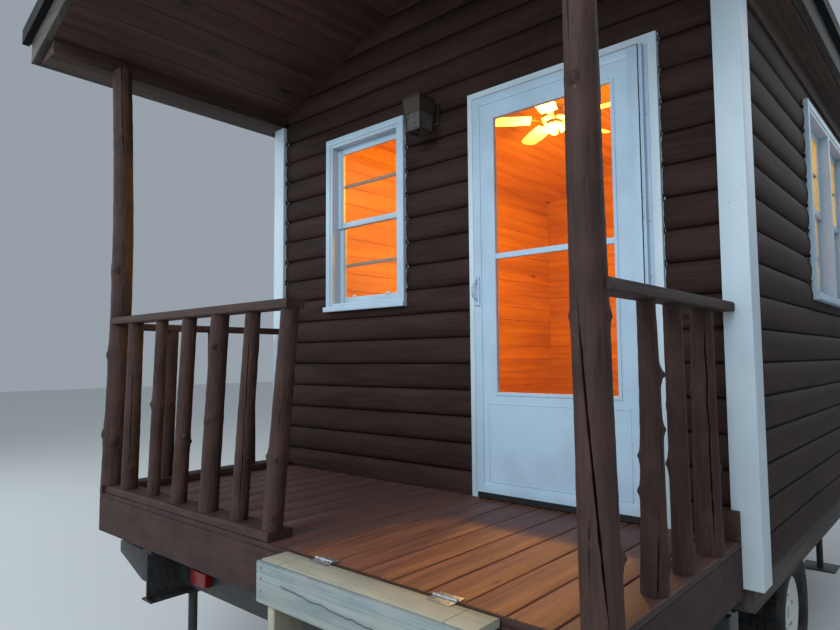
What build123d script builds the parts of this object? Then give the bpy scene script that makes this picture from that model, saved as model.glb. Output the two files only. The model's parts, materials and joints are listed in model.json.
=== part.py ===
"""Small gabled cabin with log siding and a covered front porch, built on a towable steel chassis.
Millimetres. +Z up, the porch at -Y. The origin is on the ground, at the middle of the footprint."""
import os
from math import ceil, cos, pi, sin

from build123d import *

os.makedirs("parts", exist_ok=True)

# Heights
tyre_clearance = 21             # chassis top above the tyres
floor_frame_depth = 275         # deck above the top of the chassis
floor_step = 20                 # cabin floor above the deck
soffit_rise = 2322              # underside of the eaves above the deck

# Plan
cabin_width = 3004              # over the crests of the log siding
cabin_length = 3658
porch_depth = 1193
deck_inset = 51                 # deck narrower than the cabin, each side
hitch_reach = 1100              # nose of the coupler behind the back wall

# Log walls
course = 139.7
siding_drop = 165               # bottom of the siding below the deck
door_courses = 16               # courses up to the head of the doorway
side_courses = 17               # courses up to the frieze board
log_bulge = 24                  # crest of a log beyond the groove
wall_thickness = 98

# Roof
roof_slope = 4.5 / 12
eave_overhang = 135             # fascia boards beyond the log crests
fascia_depth = 184
fascia_thickness = 38
front_overhang = 345            # beyond the front edge of the deck
back_overhang = 150
roofing_thickness = 26
roofing_lap = 36                # roofing beyond the fascia boards
drip_depth = 62
ridge_cap_width = 160
ridge_cap_thickness = 14
beam_inset = 80                 # inner face of the porch beam inside the log crests
soffit_board = 19

# Corner boards and door casing
trim_thickness = 22
trim_width = 105
trim_side_width = 120
trim_drop = 10                  # corner boards below the siding
corner_block_height = 112
corner_block_width = 62
casing_thickness = 19
casing_width = 50
casing_overall = 1010
casing_rise = 2095              # top of the casing above the deck

# Storm door
leaf_inset = 48                 # leaf inside the left edge of the casing
leaf_width = 893
leaf_height = 2014
leaf_thickness = 25
leaf_lift = 36                  # underside of the leaf above the deck
leaf_stand = 5                  # leaf in front of the casing
latch_stile_width = 137
hinge_stile_width = 130
door_glass_bottom = 532         # above the deck
door_glass_top = 1918
mid_rail_height = 1211
mid_rail_depth = 28
glass_thickness = 6
pin_radius = 4
pin_gap = 0.5
pin_depth = 4                   # pin behind the leaf's outer face
hinge_gauge = 3
hinge_lap = 12                  # fixing strip over the casing
handle_rise = 930
handle_inset = 24               # middle of the handle from the latch edge
handle_length = 150
handle_width = 32
handle_plate = 6
grip_width = 16
grip_reach = 52                 # front of the grip before the leaf
grip_thickness = 12
grip_inset = 20                 # ends of the grip inside the plate

# Windows
window_width = 682              # over the casing
window_height = 1115
window_sill = 1001              # underside above the deck
window_share = 0.407            # of the bare front wall, left of the window
window_door_share = 0.3575      # of the bare front wall, from the window to the door
single_unit_count = 1
twin_unit_count = 2
side_window_setback = 1312      # near edge behind the front wall
twin_window_width = 1280
window_casing = 38
casing_stand = 20               # casing in front of the log crests
sash_border = 42
sash_thickness = 35
meeting_rail = 34
jamb_thickness = 20
sill_stand = 18                 # sill in front of the casing
sill_thickness = 30
pane_thickness = 6

# Porch floor
deck_board = 25
deck_board_pitch = 146
deck_gap = 5
rim_depth = 183
rim_board = 38
joist_spacing = 385
joist_fit = 0.3
bearer_width = 90

# Posts and railings
rail_height = 938               # top of the front railing above the deck
side_rail_drop = 27             # side railings below the front one
rail_thickness = 38
rail_width = 89
sill_plank_width = 120
sill_plank_thickness = 38
sill_plank_inset = 60           # end of the front plank from the left edge of the deck
baluster_inset = 50
side_baluster_inset = 43        # from the edge of the deck
side_rail_inset = 32
newel_offset = 143.5            # foot of the newel from the left edge of the door casing
newel_lean = 112
newel_radius = 43
newel_top_radius = 37
rail_overhang = 30              # beyond the newel
rail_post_lap = 26              # end of the front railing from the middle of the post
log_sides = 12                  # flats round a peeled log
sapling_sides = 10
knot_length = 0.03              # of the sapling, each side of a knot
rail_fit = 0.3

# Folding step
step_offset = 42                # inside the left edge of the door casing
step_width = 933
step_top_depth = 142
step_top_thickness = 25
step_risers = 4
riser_board_height = 118
riser_board_thickness = 20
tread_run = 230
tread_nosing = 20
tread_thickness = 38
tread_gap = 2                   # from the riser face behind it
stringer_thickness = 38
stringer_cut = 58               # slope of the underside ahead of the top board's back
stringer_inset = 40             # inside the end of the top board
step_gap = 3
step_pin_rise = 6
step_pin_radius = 2.5
knuckle_radius = 5
knuckle_gap = 0.5
knuckle_sides = 12
step_leaf_gap = 4               # leaf's edge behind the edge of the deck
step_leaf_width = 30
step_leaf_length = 90
step_leaf_gauge = 3
step_hinge_inset = 150

# Steel chassis
rails_setback = 100             # front ends behind the edge of the deck
rail_inset = 402                # web inside the log crests
beam_depth = 254
beam_flange = 100
beam_web = 8
flange_thickness = 10
cross_depth = 182
cross_width = 60
cross_spacing = 1100
cross_inset = 200               # first cross member behind the ends of the rails
outrigger_thickness = 40
outrigger_inner = 155
outrigger_outer = 58
outrigger_inset = 40            # outer end inside the edge of the deck
outrigger_spacing = 1020

# Running gear and supports
tyre_radius = 352
tyre_width = 200
tyre_outset = 70                # inner sidewall from the web of the rail
rim_radius = 184
rim_gauge = 6
tread_edge = 22
bead_inset = 26                 # rim inside the sidewalls
dish_depth = 24
hub_radius = 60
hub_length = 130
wheel_setback = 1200            # axle behind the front wall
axle_radius = 30
axle_end_gap = 20               # from the inner sidewall
spindle_reach = 40              # beyond the middle of the wheel
spindle_radius = 20
wheel_sides = 36                # flats round a tyre or rim
running_gap = 0.4
spring_length = 860
spring_width = 50
spring_thickness = 26
spring_drop = 20                # thickness at the eyes
eye_drop = 24                   # eyes below the rail
hanger_width = 46
stand_base = 240
stand_tube_radius = 24
stand_plate = 8
stand_inset = 260
jack_base = 170
tongue_depth = 120
tongue_width = 50
tongue_spread = 70              # slanted width of a channel at the wall
tongue_overlap = 87             # channels beside the coupler
coupler_width = 90
coupler_length = 260
coupler_depth = 80
jack_setback = 330              # jack behind the nose of the coupler
jack_plate = 260
jack_head = 250                 # crank housing above the tongue
round_sides = 16                # flats round a tube or shaft
tail_light_inset = 270          # from the web of the rail
tail_light_drop = 150           # underside below the top of the chassis
tail_light_width = 140
tail_light_height = 70
tail_light_depth = 40

# Porch lantern
lantern_offset = 263            # from the left edge of the door casing
lantern_rise = 1935             # underside above the deck
lantern_width = 130
lantern_height = 190
lantern_stand = 45              # body in front of the log crests
lantern_taper = 0.8             # width at the foot
lantern_arm = 110
lantern_arm_low = 60            # above the foot
lantern_arm_high = 10           # below the top

# Ceiling fan
fan_setback = 1241
fan_hang = 520                  # rotor below the ridge
fan_radius = 530
fan_blade_count = 5
fan_blade_width = 120
fan_blade_thickness = 6
fan_blade_angle = 93            # between a blade's root and its edge
fan_rotor_radius = 95
fan_rotor_height = 60
fan_shaft_radius = 12
fan_light_radius = 70
light_drop = 50                 # lamp bowl below the rotor
light_taper = 0.6
fan_blade_rise = 10             # above the underside of the rotor
fan_blade_root = 10             # inside the rim of the rotor
fan_coupling_radius = 76
fan_coupling_height = 55
fan_coupling_gap = 5
fan_canopy_radius = 60
fan_canopy_depth = 90

# Places that follow from the sizes
step_reach = step_gap + step_top_depth + (step_risers - 1) * tread_run
footprint = step_reach + porch_depth + cabin_length + hitch_reach
deck_front = step_reach - footprint / 2
wall_front = deck_front + porch_depth
wall_back = wall_front + cabin_length
half_cabin = cabin_width / 2
half_inside = half_cabin - wall_thickness
bare_front = cabin_width - window_width - casing_overall
front_window_centre = -half_cabin + bare_front * window_share + window_width / 2
casing_left = front_window_centre + window_width / 2 + bare_front * window_door_share
leaf_left = casing_left + leaf_inset
lantern_x = casing_left - lantern_offset
newel_base = casing_left - newel_offset
step_left = casing_left + step_offset
half_deck = half_cabin - deck_inset
half_trim = half_cabin + trim_thickness
fascia_half_width = half_cabin + eave_overhang
chassis_top = 2 * tyre_radius + tyre_clearance
chassis_bottom = chassis_top - beam_depth
deck_height = chassis_top + floor_frame_depth
siding_bottom = deck_height - siding_drop
head_height = siding_bottom + door_courses * course
frieze_bottom = siding_bottom + side_courses * course
soffit = deck_height + soffit_rise
roof_front = deck_front - front_overhang
roof_back = wall_back + back_overhang
ridge_under = soffit + fascia_half_width * roof_slope
beam_inner = half_cabin - beam_inset
rail_x = half_cabin - rail_inset
rails_front = deck_front + rails_setback
floor_top = deck_height + floor_step
rim_top = deck_height - deck_board
rim_bottom = rim_top - rim_depth
rail_top = deck_height + rail_height
rail_underside = rail_top - rail_thickness
side_rail_top = rail_top - side_rail_drop
side_rail_underside = side_rail_top - rail_thickness
door_left = casing_left + casing_width
door_width = casing_overall - 2 * casing_width


def roof_under(x):
    """Height of the roof's underside at a distance from the middle."""
    return soffit + (fascia_half_width - abs(x)) * roof_slope


def roof_top(x):
    return roof_under(x) + fascia_depth


def across(y):
    """An upright plane through y, with X to the right. Outlines on it are drawn out towards the porch."""
    return Plane(origin=(0, y, 0), x_dir=(1, 0, 0), z_dir=(0, -1, 0))


def along(x):
    """An upright plane through x, its X towards the back wall; outlines on it are drawn out towards +X."""
    return Plane(origin=(x, 0, 0), x_dir=(0, 1, 0), z_dir=(1, 0, 0))


def facing(x, y, z, side):
    """A plane on a wall's face whose normal points out of the cabin."""
    x_dir, z_dir = {
        "front": ((1, 0, 0), (0, -1, 0)),
        "back": ((-1, 0, 0), (0, 1, 0)),
        "right": ((0, 1, 0), (1, 0, 0)),
        "left": ((0, -1, 0), (-1, 0, 0)),
    }[side]
    return Plane(origin=(x, y, z), x_dir=x_dir, z_dir=z_dir)


def save(piece, name):
    piece.part.label = name
    export_step(piece.part, f"parts/{name}.step")


def block(low, high, mode=Mode.ADD):
    """A rectangular piece between two corners."""
    with BuildSketch(Plane.XY.offset(low[2])) as outline:
        with Locations(((low[0] + high[0]) / 2, (low[1] + high[1]) / 2)):
            Rectangle(high[0] - low[0], high[1] - low[1])
    extrude(outline.sketch, amount=high[2] - low[2], mode=mode)


def prism(plane, points, length, mode=Mode.ADD):
    """An outline on a plane, drawn out along the plane's normal."""
    with BuildSketch(plane) as outline:
        with BuildLine():
            Polyline(*points, close=True)
        make_face()
    extrude(outline.sketch, amount=length, mode=mode)


def turned(plane, stations, sides, mode=Mode.ADD):
    """A many-sided round piece, from distances along the plane's normal and the radius at each."""
    sections = []
    for distance, radius in stations:
        with BuildSketch(plane.offset(distance)) as section:
            RegularPolygon(radius, sides)
        sections.append(section.sketch.face())
    loft(sections, ruled=True, mode=mode)


def peeled_log(foot, head, radii, knots=(), bow=(0, 0), sides=sapling_sides, fit=0, mode=Mode.ADD):
    """A peeled log cut level at both ends. A knot has its place along the log, its swelling and its side."""
    (foot_x, foot_y, low), (head_x, head_y, high) = foot, head
    stops = {0: (0, 0), 0.25: (0, 0), 0.5: (0, 0), 0.75: (0, 0), 1: (0, 0)}
    for share, swelling, side in knots:
        stops[share - knot_length] = stops[share + knot_length] = (0, 0)
        stops[share] = (swelling, side)
    sections = []
    for share, (swelling, side) in sorted(stops.items()):
        bend = sin(pi * share)
        x = foot_x + (head_x - foot_x) * share + bow[0] * bend + side * swelling / 2
        y = foot_y + (head_y - foot_y) * share + bow[1] * bend
        radius = radii[0] + (radii[1] - radii[0]) * share + swelling + fit
        with BuildSketch(Plane.XY.offset(low + (high - low) * share)) as section:
            with Locations((x, y)):
                RegularPolygon(radius, sides)
        sections.append(section.sketch.face())
    loft(sections, ruled=True, mode=mode)


def log_siding(corner, out_dir, run_dir, courses, length):
    """A wall faced with log siding, from a lower corner on its outer face along the run."""
    top = courses * course
    with BuildSketch(Plane(origin=corner, x_dir=out_dir, z_dir=run_dir)) as outline:
        with BuildLine():
            for i in range(courses):
                low = i * course
                ThreePointArc((-log_bulge, low), (0, low + course / 2), (-log_bulge, low + course))
            Polyline((-log_bulge, top), (-wall_thickness, top), (-wall_thickness, 0), (-log_bulge, 0))
        make_face()
    extrude(outline.sketch, amount=length)


def cut_to_roof(start, length):
    """Cuts away what stands above the roof's underside."""
    wide = fascia_half_width * 2
    high = ridge_under + wide
    low = roof_under(wide)
    outline = [(-wide, low), (0, ridge_under), (wide, low), (wide, high), (-wide, high)]
    prism(across(start + length), outline, length, mode=Mode.SUBTRACT)


# Front wall, split beside and over the doorway
front_out, front_run = (0, -1, 0), (-1, 0, 0)
window_hole_width = window_width - 2 * window_casing
window_hole_height = window_height - window_casing - sill_thickness
window_hole_bottom = deck_height + window_sill + sill_thickness


def window_hole(centre):
    half = window_hole_width / 2
    block(
        (centre - half, wall_front - log_bulge, window_hole_bottom),
        (centre + half, wall_front + wall_thickness + log_bulge, window_hole_bottom + window_hole_height),
        mode=Mode.SUBTRACT,
    )


with BuildPart() as front_wall_left:
    log_siding(
        (door_left, wall_front, siding_bottom), front_out, front_run, door_courses, door_left + half_cabin
    )
    window_hole(front_window_centre)
save(front_wall_left, "front_wall_left")

with BuildPart() as front_wall_right:
    length = half_cabin - door_left - door_width
    log_siding((half_cabin, wall_front, siding_bottom), front_out, front_run, door_courses, length)
save(front_wall_right, "front_wall_right")

gable_courses = ceil((ridge_under - head_height) / course)
with BuildPart() as front_gable:
    log_siding((half_cabin, wall_front, head_height), front_out, front_run, gable_courses, cabin_width)
    cut_to_roof(wall_front, wall_thickness)
    window_hole(front_window_centre)
save(front_gable, "front_gable")

# Back wall with one window like the front one
back_courses = door_courses + gable_courses
with BuildPart() as back_wall:
    log_siding((-half_cabin, wall_back, siding_bottom), (0, 1, 0), (1, 0, 0), back_courses, cabin_width)
    cut_to_roof(wall_back - wall_thickness, wall_thickness)
    block(
        (-window_hole_width / 2, wall_back - wall_thickness - 1, window_hole_bottom),
        (window_hole_width / 2, wall_back + log_bulge, window_hole_bottom + window_hole_height),
        mode=Mode.SUBTRACT,
    )
save(back_wall, "back_wall")

# Side walls between the front and back walls, each with a twin window
side_start = wall_front + wall_thickness
side_end = wall_back - wall_thickness
twin_hole_width = twin_window_width - 2 * window_casing
twin_centre = wall_front + side_window_setback + twin_window_width / 2


def side_wall(side):
    """The wall on one side of the cabin: +1 right, -1 left."""
    start = side_end if side > 0 else side_start
    run = side_end - side_start
    log_siding((side * half_cabin, start, siding_bottom), (side, 0, 0), (0, -side, 0), side_courses, run)
    near, far = sorted((side * half_inside, side * (half_cabin - log_bulge)))
    block((near, side_start, frieze_bottom), (far, side_end, roof_under(half_inside)))
    cut_to_roof(side_start, run)
    near, far = sorted((side * (half_inside - 1), side * (half_cabin + log_bulge)))
    block(
        (near, twin_centre - twin_hole_width / 2, window_hole_bottom),
        (far, twin_centre + twin_hole_width / 2, window_hole_bottom + window_hole_height),
        mode=Mode.SUBTRACT,
    )


with BuildPart() as right_wall:
    side_wall(1)
save(right_wall, "right_wall")

with BuildPart() as left_wall:
    side_wall(-1)
save(left_wall, "left_wall")

# Roof panels, with the boarded ceiling as their underside
panel_front = roof_front + fascia_thickness
panel_back = roof_back - fascia_thickness
fascia_inner = fascia_half_width - fascia_thickness


def roof_panel(side):
    outline = [
        (0, ridge_under),
        (side * fascia_inner, roof_under(fascia_inner)),
        (side * fascia_inner, roof_top(fascia_inner)),
        (0, roof_top(0)),
    ]
    prism(across(panel_back), outline, panel_back - panel_front)


with BuildPart() as roof_left:
    roof_panel(-1)
save(roof_left, "roof_left")

with BuildPart() as roof_right:
    roof_panel(1)
save(roof_right, "roof_right")

# Roofing, turned down over the fascia boards
roofing_edge = fascia_half_width + roofing_lap


def roofing(side):
    sheet = [
        (0, roof_top(0)),
        (side * fascia_half_width, roof_top(fascia_half_width)),
        (side * fascia_half_width, roof_top(fascia_half_width) - drip_depth),
        (side * roofing_edge, roof_top(fascia_half_width) - drip_depth),
        (side * roofing_edge, roof_top(roofing_edge) + roofing_thickness),
        (0, roof_top(0) + roofing_thickness),
    ]
    prism(across(roof_back), sheet, roof_back - roof_front)
    rake_lip = [
        (0, roof_top(0) - drip_depth),
        (side * roofing_edge, roof_top(roofing_edge) - drip_depth),
        (side * roofing_edge, roof_top(roofing_edge) + roofing_thickness),
        (0, roof_top(0) + roofing_thickness),
    ]
    prism(across(roof_front), rake_lip, roofing_lap)
    prism(across(roof_back + roofing_lap), rake_lip, roofing_lap)


with BuildPart() as roofing_left:
    roofing(-1)
save(roofing_left, "roofing_left")

with BuildPart() as roofing_right:
    roofing(1)
save(roofing_right, "roofing_right")

with BuildPart() as ridge_cap:
    crest = roof_top(0) + roofing_thickness
    wing = crest - ridge_cap_width * roof_slope
    cap = [
        (0, crest),
        (ridge_cap_width, wing),
        (ridge_cap_width, wing + ridge_cap_thickness),
        (0, crest + ridge_cap_thickness),
        (-ridge_cap_width, wing + ridge_cap_thickness),
        (-ridge_cap_width, wing),
    ]
    prism(across(roof_back + roofing_lap), cap, roof_back - roof_front + 2 * roofing_lap)
save(ridge_cap, "ridge_cap")

# Fascia boards: two up each gable and one along each eave
with BuildPart() as rake_fascias:
    for side in (-1, 1):
        board = [
            (side * pin_gap, roof_under(pin_gap)),
            (side * fascia_half_width, soffit),
            (side * fascia_half_width, roof_top(fascia_half_width)),
            (side * pin_gap, roof_top(pin_gap)),
        ]
        prism(across(panel_front), board, fascia_thickness)
        prism(across(roof_back), board, fascia_thickness)
save(rake_fascias, "rake_fascias")

with BuildPart() as eave_fascias:
    for side in (-1, 1):
        board = [
            (side * fascia_inner, soffit),
            (side * fascia_half_width, soffit),
            (side * fascia_half_width, roof_top(fascia_half_width)),
            (side * fascia_inner, roof_top(fascia_inner)),
        ]
        prism(across(panel_back), board, panel_back - panel_front)
save(eave_fascias, "eave_fascias")

# Porch beams under the eaves, then soffit and frieze boards along the side walls
with BuildPart() as porch_beams:
    for side in (-1, 1):
        beam = [
            (side * beam_inner, soffit),
            (side * fascia_inner, soffit),
            (side * fascia_inner, roof_under(fascia_inner)),
            (side * beam_inner, roof_under(beam_inner)),
        ]
        prism(across(wall_front), beam, wall_front - panel_front)
save(porch_beams, "porch_beams")

with BuildPart() as eave_boards:
    for side in (-1, 1):
        near, far = sorted((side * (half_cabin - log_bulge), side * fascia_inner))
        block((near, side_start, soffit - soffit_board), (far, side_end, soffit))
        near, far = sorted((side * (half_cabin - log_bulge), side * half_cabin))
        block((near, side_start, frieze_bottom), (far, side_end, soffit - soffit_board))
save(eave_boards, "eave_boards")

# Corner boards; the front ones are notched round the deck
trim_bottom = siding_bottom - trim_drop
with BuildPart() as corner_boards:
    for side in (-1, 1):
        for face, away in ((wall_front, -1), (wall_back, 1)):
            x0, x1 = sorted((side * (half_trim - trim_width), side * half_cabin))
            y0, y1 = sorted((face, face + away * trim_thickness))
            block((x0, y0, trim_bottom), (x1, y1, soffit))
            x0, x1 = sorted((side * half_cabin, side * half_trim))
            y0, y1 = sorted((face + away * trim_thickness, face - away * (trim_side_width - trim_thickness)))
            block((x0, y0, trim_bottom), (x1, y1, soffit))
        x0, x1 = sorted((side * (half_trim - trim_width), side * half_deck))
        notch_top = deck_height + (corner_block_height if side > 0 else 0)
        block((x0, wall_front - trim_thickness, trim_bottom), (x1, wall_front, notch_top), mode=Mode.SUBTRACT)
save(corner_boards, "corner_boards")

# Door casing and threshold
with BuildPart() as door_casing:
    with BuildSketch(across(wall_front)):
        with Locations((casing_left + casing_overall / 2, deck_height + casing_rise / 2)):
            Rectangle(casing_overall, casing_rise)
        with Locations((casing_left + casing_overall / 2, deck_height + (casing_rise - casing_width) / 2)):
            Rectangle(door_width, casing_rise - casing_width, mode=Mode.SUBTRACT)
    extrude(amount=casing_thickness)
save(door_casing, "door_casing")

with BuildPart() as door_threshold:
    block(
        (door_left, wall_front - casing_thickness, deck_height),
        (door_left + door_width, wall_front + wall_thickness, floor_top),
    )
save(door_threshold, "door_threshold")

# Storm door: a panelled leaf with a two-part glass, hung on its right
leaf_back = wall_front - casing_thickness - leaf_stand
leaf_front = leaf_back - leaf_thickness
leaf_right = leaf_left + leaf_width
leaf_bottom = deck_height + leaf_lift
leaf_top = leaf_bottom + leaf_height
glass_left = leaf_left + latch_stile_width
glass_right = leaf_right - hinge_stile_width
glass_low = deck_height + door_glass_bottom
glass_high = deck_height + door_glass_top
mid_low = deck_height + mid_rail_height - mid_rail_depth / 2
mid_high = mid_low + mid_rail_depth
hinge_x = leaf_right + pin_gap + pin_radius
hinge_y = leaf_front + pin_depth
with BuildPart() as storm_door_leaf:
    block((leaf_left, leaf_front, leaf_bottom), (leaf_right, leaf_back, leaf_top))
    for low, high in ((glass_low, mid_low), (mid_high, glass_high)):
        block((glass_left, leaf_front, low), (glass_right, leaf_back, high), mode=Mode.SUBTRACT)
save(storm_door_leaf, "storm_door_leaf")

with BuildPart() as storm_door_glass:
    pane = (leaf_front + leaf_back - glass_thickness) / 2
    for low, high in ((glass_low, mid_low), (mid_high, glass_high)):
        block((glass_left, pane, low), (glass_right, pane + glass_thickness, high))
save(storm_door_glass, "storm_door_glass")

with BuildPart() as storm_door_handle:
    handle_x = leaf_left + handle_inset
    handle_low = leaf_bottom + handle_rise
    handle_high = handle_low + handle_length
    left, right = handle_x - handle_width / 2, handle_x + handle_width / 2
    block((left, leaf_front - handle_plate, handle_low), (right, leaf_front, handle_high))
    left, right = handle_x - grip_width / 2, handle_x + grip_width / 2
    grip_back = leaf_front - grip_reach + grip_thickness
    grip_low, grip_high = handle_low + grip_inset, handle_high - grip_inset
    block((left, leaf_front - grip_reach, grip_low), (right, grip_back, grip_high))
    for low in (grip_low, grip_high - grip_width):
        block((left, grip_back, low), (right, leaf_front - handle_plate, low + grip_width))
save(storm_door_handle, "storm_door_handle")

with BuildPart() as storm_door_hinge:
    with BuildSketch(Plane.XY.offset(leaf_bottom)):
        with Locations((hinge_x, hinge_y)):
            Circle(pin_radius)
        strip_face = wall_front - casing_thickness
        web_left = hinge_x + pin_radius - 1
        web_right = door_left + door_width + hinge_lap
        with BuildLine():
            Polyline(
                (web_left, hinge_y - hinge_gauge / 2),
                (web_left + 2 * hinge_gauge + 1, hinge_y - hinge_gauge / 2),
                (web_left + 2 * hinge_gauge + 1, strip_face - hinge_gauge),
                (web_right, strip_face - hinge_gauge),
                (web_right, strip_face),
                (web_left + hinge_gauge + 1, strip_face),
                (web_left + hinge_gauge + 1, hinge_y + hinge_gauge / 2),
                (web_left, hinge_y + hinge_gauge / 2),
                close=True,
            )
        make_face()
    extrude(amount=leaf_height)
save(storm_door_hinge, "storm_door_hinge")


# Windows: casing, jambs, sill and two sashes in one frame
def window_frame(plane, width, units):
    """A double-hung window, or several side by side, centred on the plane, which lies on the log crests."""
    hole_width = width - 2 * window_casing
    hole_height = window_height - window_casing - sill_thickness
    hole_centre = (sill_thickness - window_casing) / 2
    mullions = units - 1
    unit_width = (hole_width - 2 * jamb_thickness - mullions * window_casing) / units
    opening_height = hole_height - 2 * jamb_thickness
    with BuildSketch(plane) as outline:
        Rectangle(width, window_height)
        with Locations((0, hole_centre)):
            Rectangle(hole_width, hole_height, mode=Mode.SUBTRACT)
    extrude(outline.sketch, amount=casing_stand)
    with BuildSketch(plane.offset(casing_stand)) as outline:
        with Locations((0, (sill_thickness - window_height) / 2)):
            Rectangle(width + sill_stand, sill_thickness)
    extrude(outline.sketch, amount=sill_stand)
    with BuildSketch(plane.offset(-wall_thickness)) as outline:
        with Locations((0, hole_centre)):
            Rectangle(hole_width, hole_height)
        for i in range(units):
            shift = (i - mullions / 2) * (unit_width + window_casing)
            with Locations((shift, hole_centre)):
                Rectangle(unit_width, opening_height, mode=Mode.SUBTRACT)
    extrude(outline.sketch, amount=wall_thickness + casing_stand)
    pane_height = (opening_height - 2 * sash_border - meeting_rail) / 2
    with BuildSketch(plane.offset(-2 * sash_thickness)) as outline:
        for i in range(units):
            shift = (i - mullions / 2) * (unit_width + window_casing)
            with Locations((shift, hole_centre)):
                Rectangle(unit_width, opening_height)
            for up in (-1, 1):
                lift = hole_centre + up * (pane_height + meeting_rail) / 2
                with Locations((shift, lift)):
                    Rectangle(unit_width - 2 * sash_border, pane_height, mode=Mode.SUBTRACT)
    extrude(outline.sketch, amount=sash_thickness)


def window_panes(plane, width, units):
    """The glass of a window frame, in the middle of its sashes."""
    hole_height = window_height - window_casing - sill_thickness
    hole_centre = (sill_thickness - window_casing) / 2
    mullions = units - 1
    unit_width = (width - 2 * window_casing - 2 * jamb_thickness - mullions * window_casing) / units
    opening_height = hole_height - 2 * jamb_thickness
    pane_height = (opening_height - 2 * sash_border - meeting_rail) / 2
    with BuildSketch(plane.offset(-1.5 * sash_thickness - pane_thickness / 2)) as outline:
        for i in range(units):
            shift = (i - mullions / 2) * (unit_width + window_casing)
            for up in (-1, 1):
                lift = hole_centre + up * (pane_height + meeting_rail) / 2
                with Locations((shift, lift)):
                    Rectangle(unit_width - 2 * sash_border, pane_height)
    extrude(outline.sketch, amount=pane_thickness)


window_mid = deck_height + window_sill + window_height / 2
front_face = facing(front_window_centre, wall_front, window_mid, "front")
right_face = facing(half_cabin, twin_centre, window_mid, "right")
left_face = facing(-half_cabin, twin_centre, window_mid, "left")
back_face = facing(0, wall_back, window_mid, "back")
window_places = {
    "front_window": (front_face, window_width, single_unit_count),
    "right_window": (right_face, twin_window_width, twin_unit_count),
    "left_window": (left_face, twin_window_width, twin_unit_count),
    "back_window": (back_face, window_width, single_unit_count),
}
for window_name, (window_plane, overall, units) in window_places.items():
    with BuildPart() as window:
        window_frame(window_plane, overall, units)
    save(window, window_name)

with BuildPart() as window_glass:
    for window_plane, overall, units in window_places.values():
        window_panes(window_plane, overall, units)
save(window_glass, "window_glass")

# Porch lantern beside the door
with BuildPart() as porch_light:
    lantern_back = wall_front - lantern_stand
    lantern_low = deck_height + lantern_rise
    lantern_top = lantern_low + lantern_height
    ends = []
    for level, width in ((lantern_low, lantern_width * lantern_taper), (lantern_top, lantern_width)):
        with BuildSketch(Plane.XY.offset(level)) as end:
            with Locations((lantern_x, lantern_back - lantern_width / 2)):
                Rectangle(width, width)
        ends.append(end.sketch.face())
    loft(ends, ruled=True)
    block(
        (lantern_x - lantern_arm / 2, lantern_back - lantern_width / 2, lantern_low + lantern_arm_low),
        (lantern_x + lantern_arm / 2, wall_front, lantern_top - lantern_arm_high),
    )
save(porch_light, "porch_light")

# Floors
with BuildPart() as floor_frame:
    block(
        (-half_cabin + log_bulge, wall_front + log_bulge, chassis_top),
        (half_cabin - log_bulge, wall_back - log_bulge, siding_bottom),
    )
save(floor_frame, "floor_frame")

with BuildPart() as cabin_floor:
    block((-half_inside, side_start, siding_bottom), (half_inside, side_end, floor_top))
save(cabin_floor, "cabin_floor")

# Porch floor: rim boards on two bearers, joists between the rims, and boards laid front to back
with BuildPart() as porch_frame:
    block((-half_deck, deck_front, rim_bottom), (half_deck, wall_front, rim_top))
    block(
        (-half_deck + rim_board, deck_front + rim_board, rim_bottom),
        (half_deck - rim_board, wall_front - rim_board, rim_top),
        mode=Mode.SUBTRACT,
    )
    for side in (-1, 1):
        block(
            (side * rail_x - bearer_width / 2, rails_front, chassis_top),
            (side * rail_x + bearer_width / 2, wall_front, rim_bottom),
        )
save(porch_frame, "porch_frame")

with BuildPart() as porch_joists:
    bays = round((porch_depth - rim_board) / joist_spacing)
    bay = (porch_depth - rim_board) / bays
    joist_end = half_deck - rim_board - joist_fit
    for i in range(1, bays):
        low = deck_front + i * bay
        block((-joist_end, low, rim_bottom), (joist_end, low + rim_board, rim_top))
save(porch_joists, "porch_joists")

with BuildPart() as deck_boards:
    boards = round(2 * half_deck / deck_board_pitch)
    board_width = (2 * half_deck + deck_gap) / boards - deck_gap
    for i in range(boards):
        left = -half_deck + i * (board_width + deck_gap)
        block((left, deck_front, rim_top), (left + board_width, wall_front, deck_height))
save(deck_boards, "deck_boards")

# Peeled-log porch posts, notched round the beams; the left one stands over the end of its sill plank
sill_top = deck_height + sill_plank_thickness
front_plank_low = (-half_deck + sill_plank_inset, deck_front, deck_height)
front_plank_high = (newel_base + newel_radius, deck_front + sill_plank_width, sill_top)

# Each post: its middle inside the side and front edges of the deck, its lean, its radii, bow and knots
posts = {
    -1: ((44, 42), 0, (58, 50), (22, 22), ((0.092, 5, -1), (0.228, 4, -1), (0.408, 6, -1), (0.534, 3, 1))),
    1: ((30, 66), -22, (56, 40), (-9, 0), ((0.065, 5, 0), (0.275, 6, -1), (0.49, 5, 0))),
}


def post_foot(side):
    (inset_x, inset_y), *_ = posts[side]
    return side * (half_deck - inset_x), deck_front + inset_y


def post_log(side, fit=0, mode=Mode.ADD):
    _, lean, radii, bow, knots = posts[side]
    x, y = post_foot(side)
    peeled_log((x, y, deck_height), (x + lean, y, ridge_under), radii, knots, bow, log_sides, fit, mode)


with BuildPart() as porch_posts:
    for side in (-1, 1):
        post_log(side)
        near, far = sorted((side * beam_inner, side * fascia_half_width))
        block((near, roof_front, soffit), (far, wall_front, ridge_under), mode=Mode.SUBTRACT)
    cut_to_roof(roof_front, front_overhang + porch_depth)
    plank_back = front_plank_high[1] + rail_fit
    plank_left = front_plank_low[0] - rail_fit
    block((plank_left, roof_front, deck_height), (0, plank_back, sill_top), mode=Mode.SUBTRACT)
    block((-half_deck, plank_back, deck_height), (0, wall_front, sill_top), mode=Mode.SUBTRACT)
save(porch_posts, "porch_posts")

baluster_y = deck_front + baluster_inset


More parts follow.
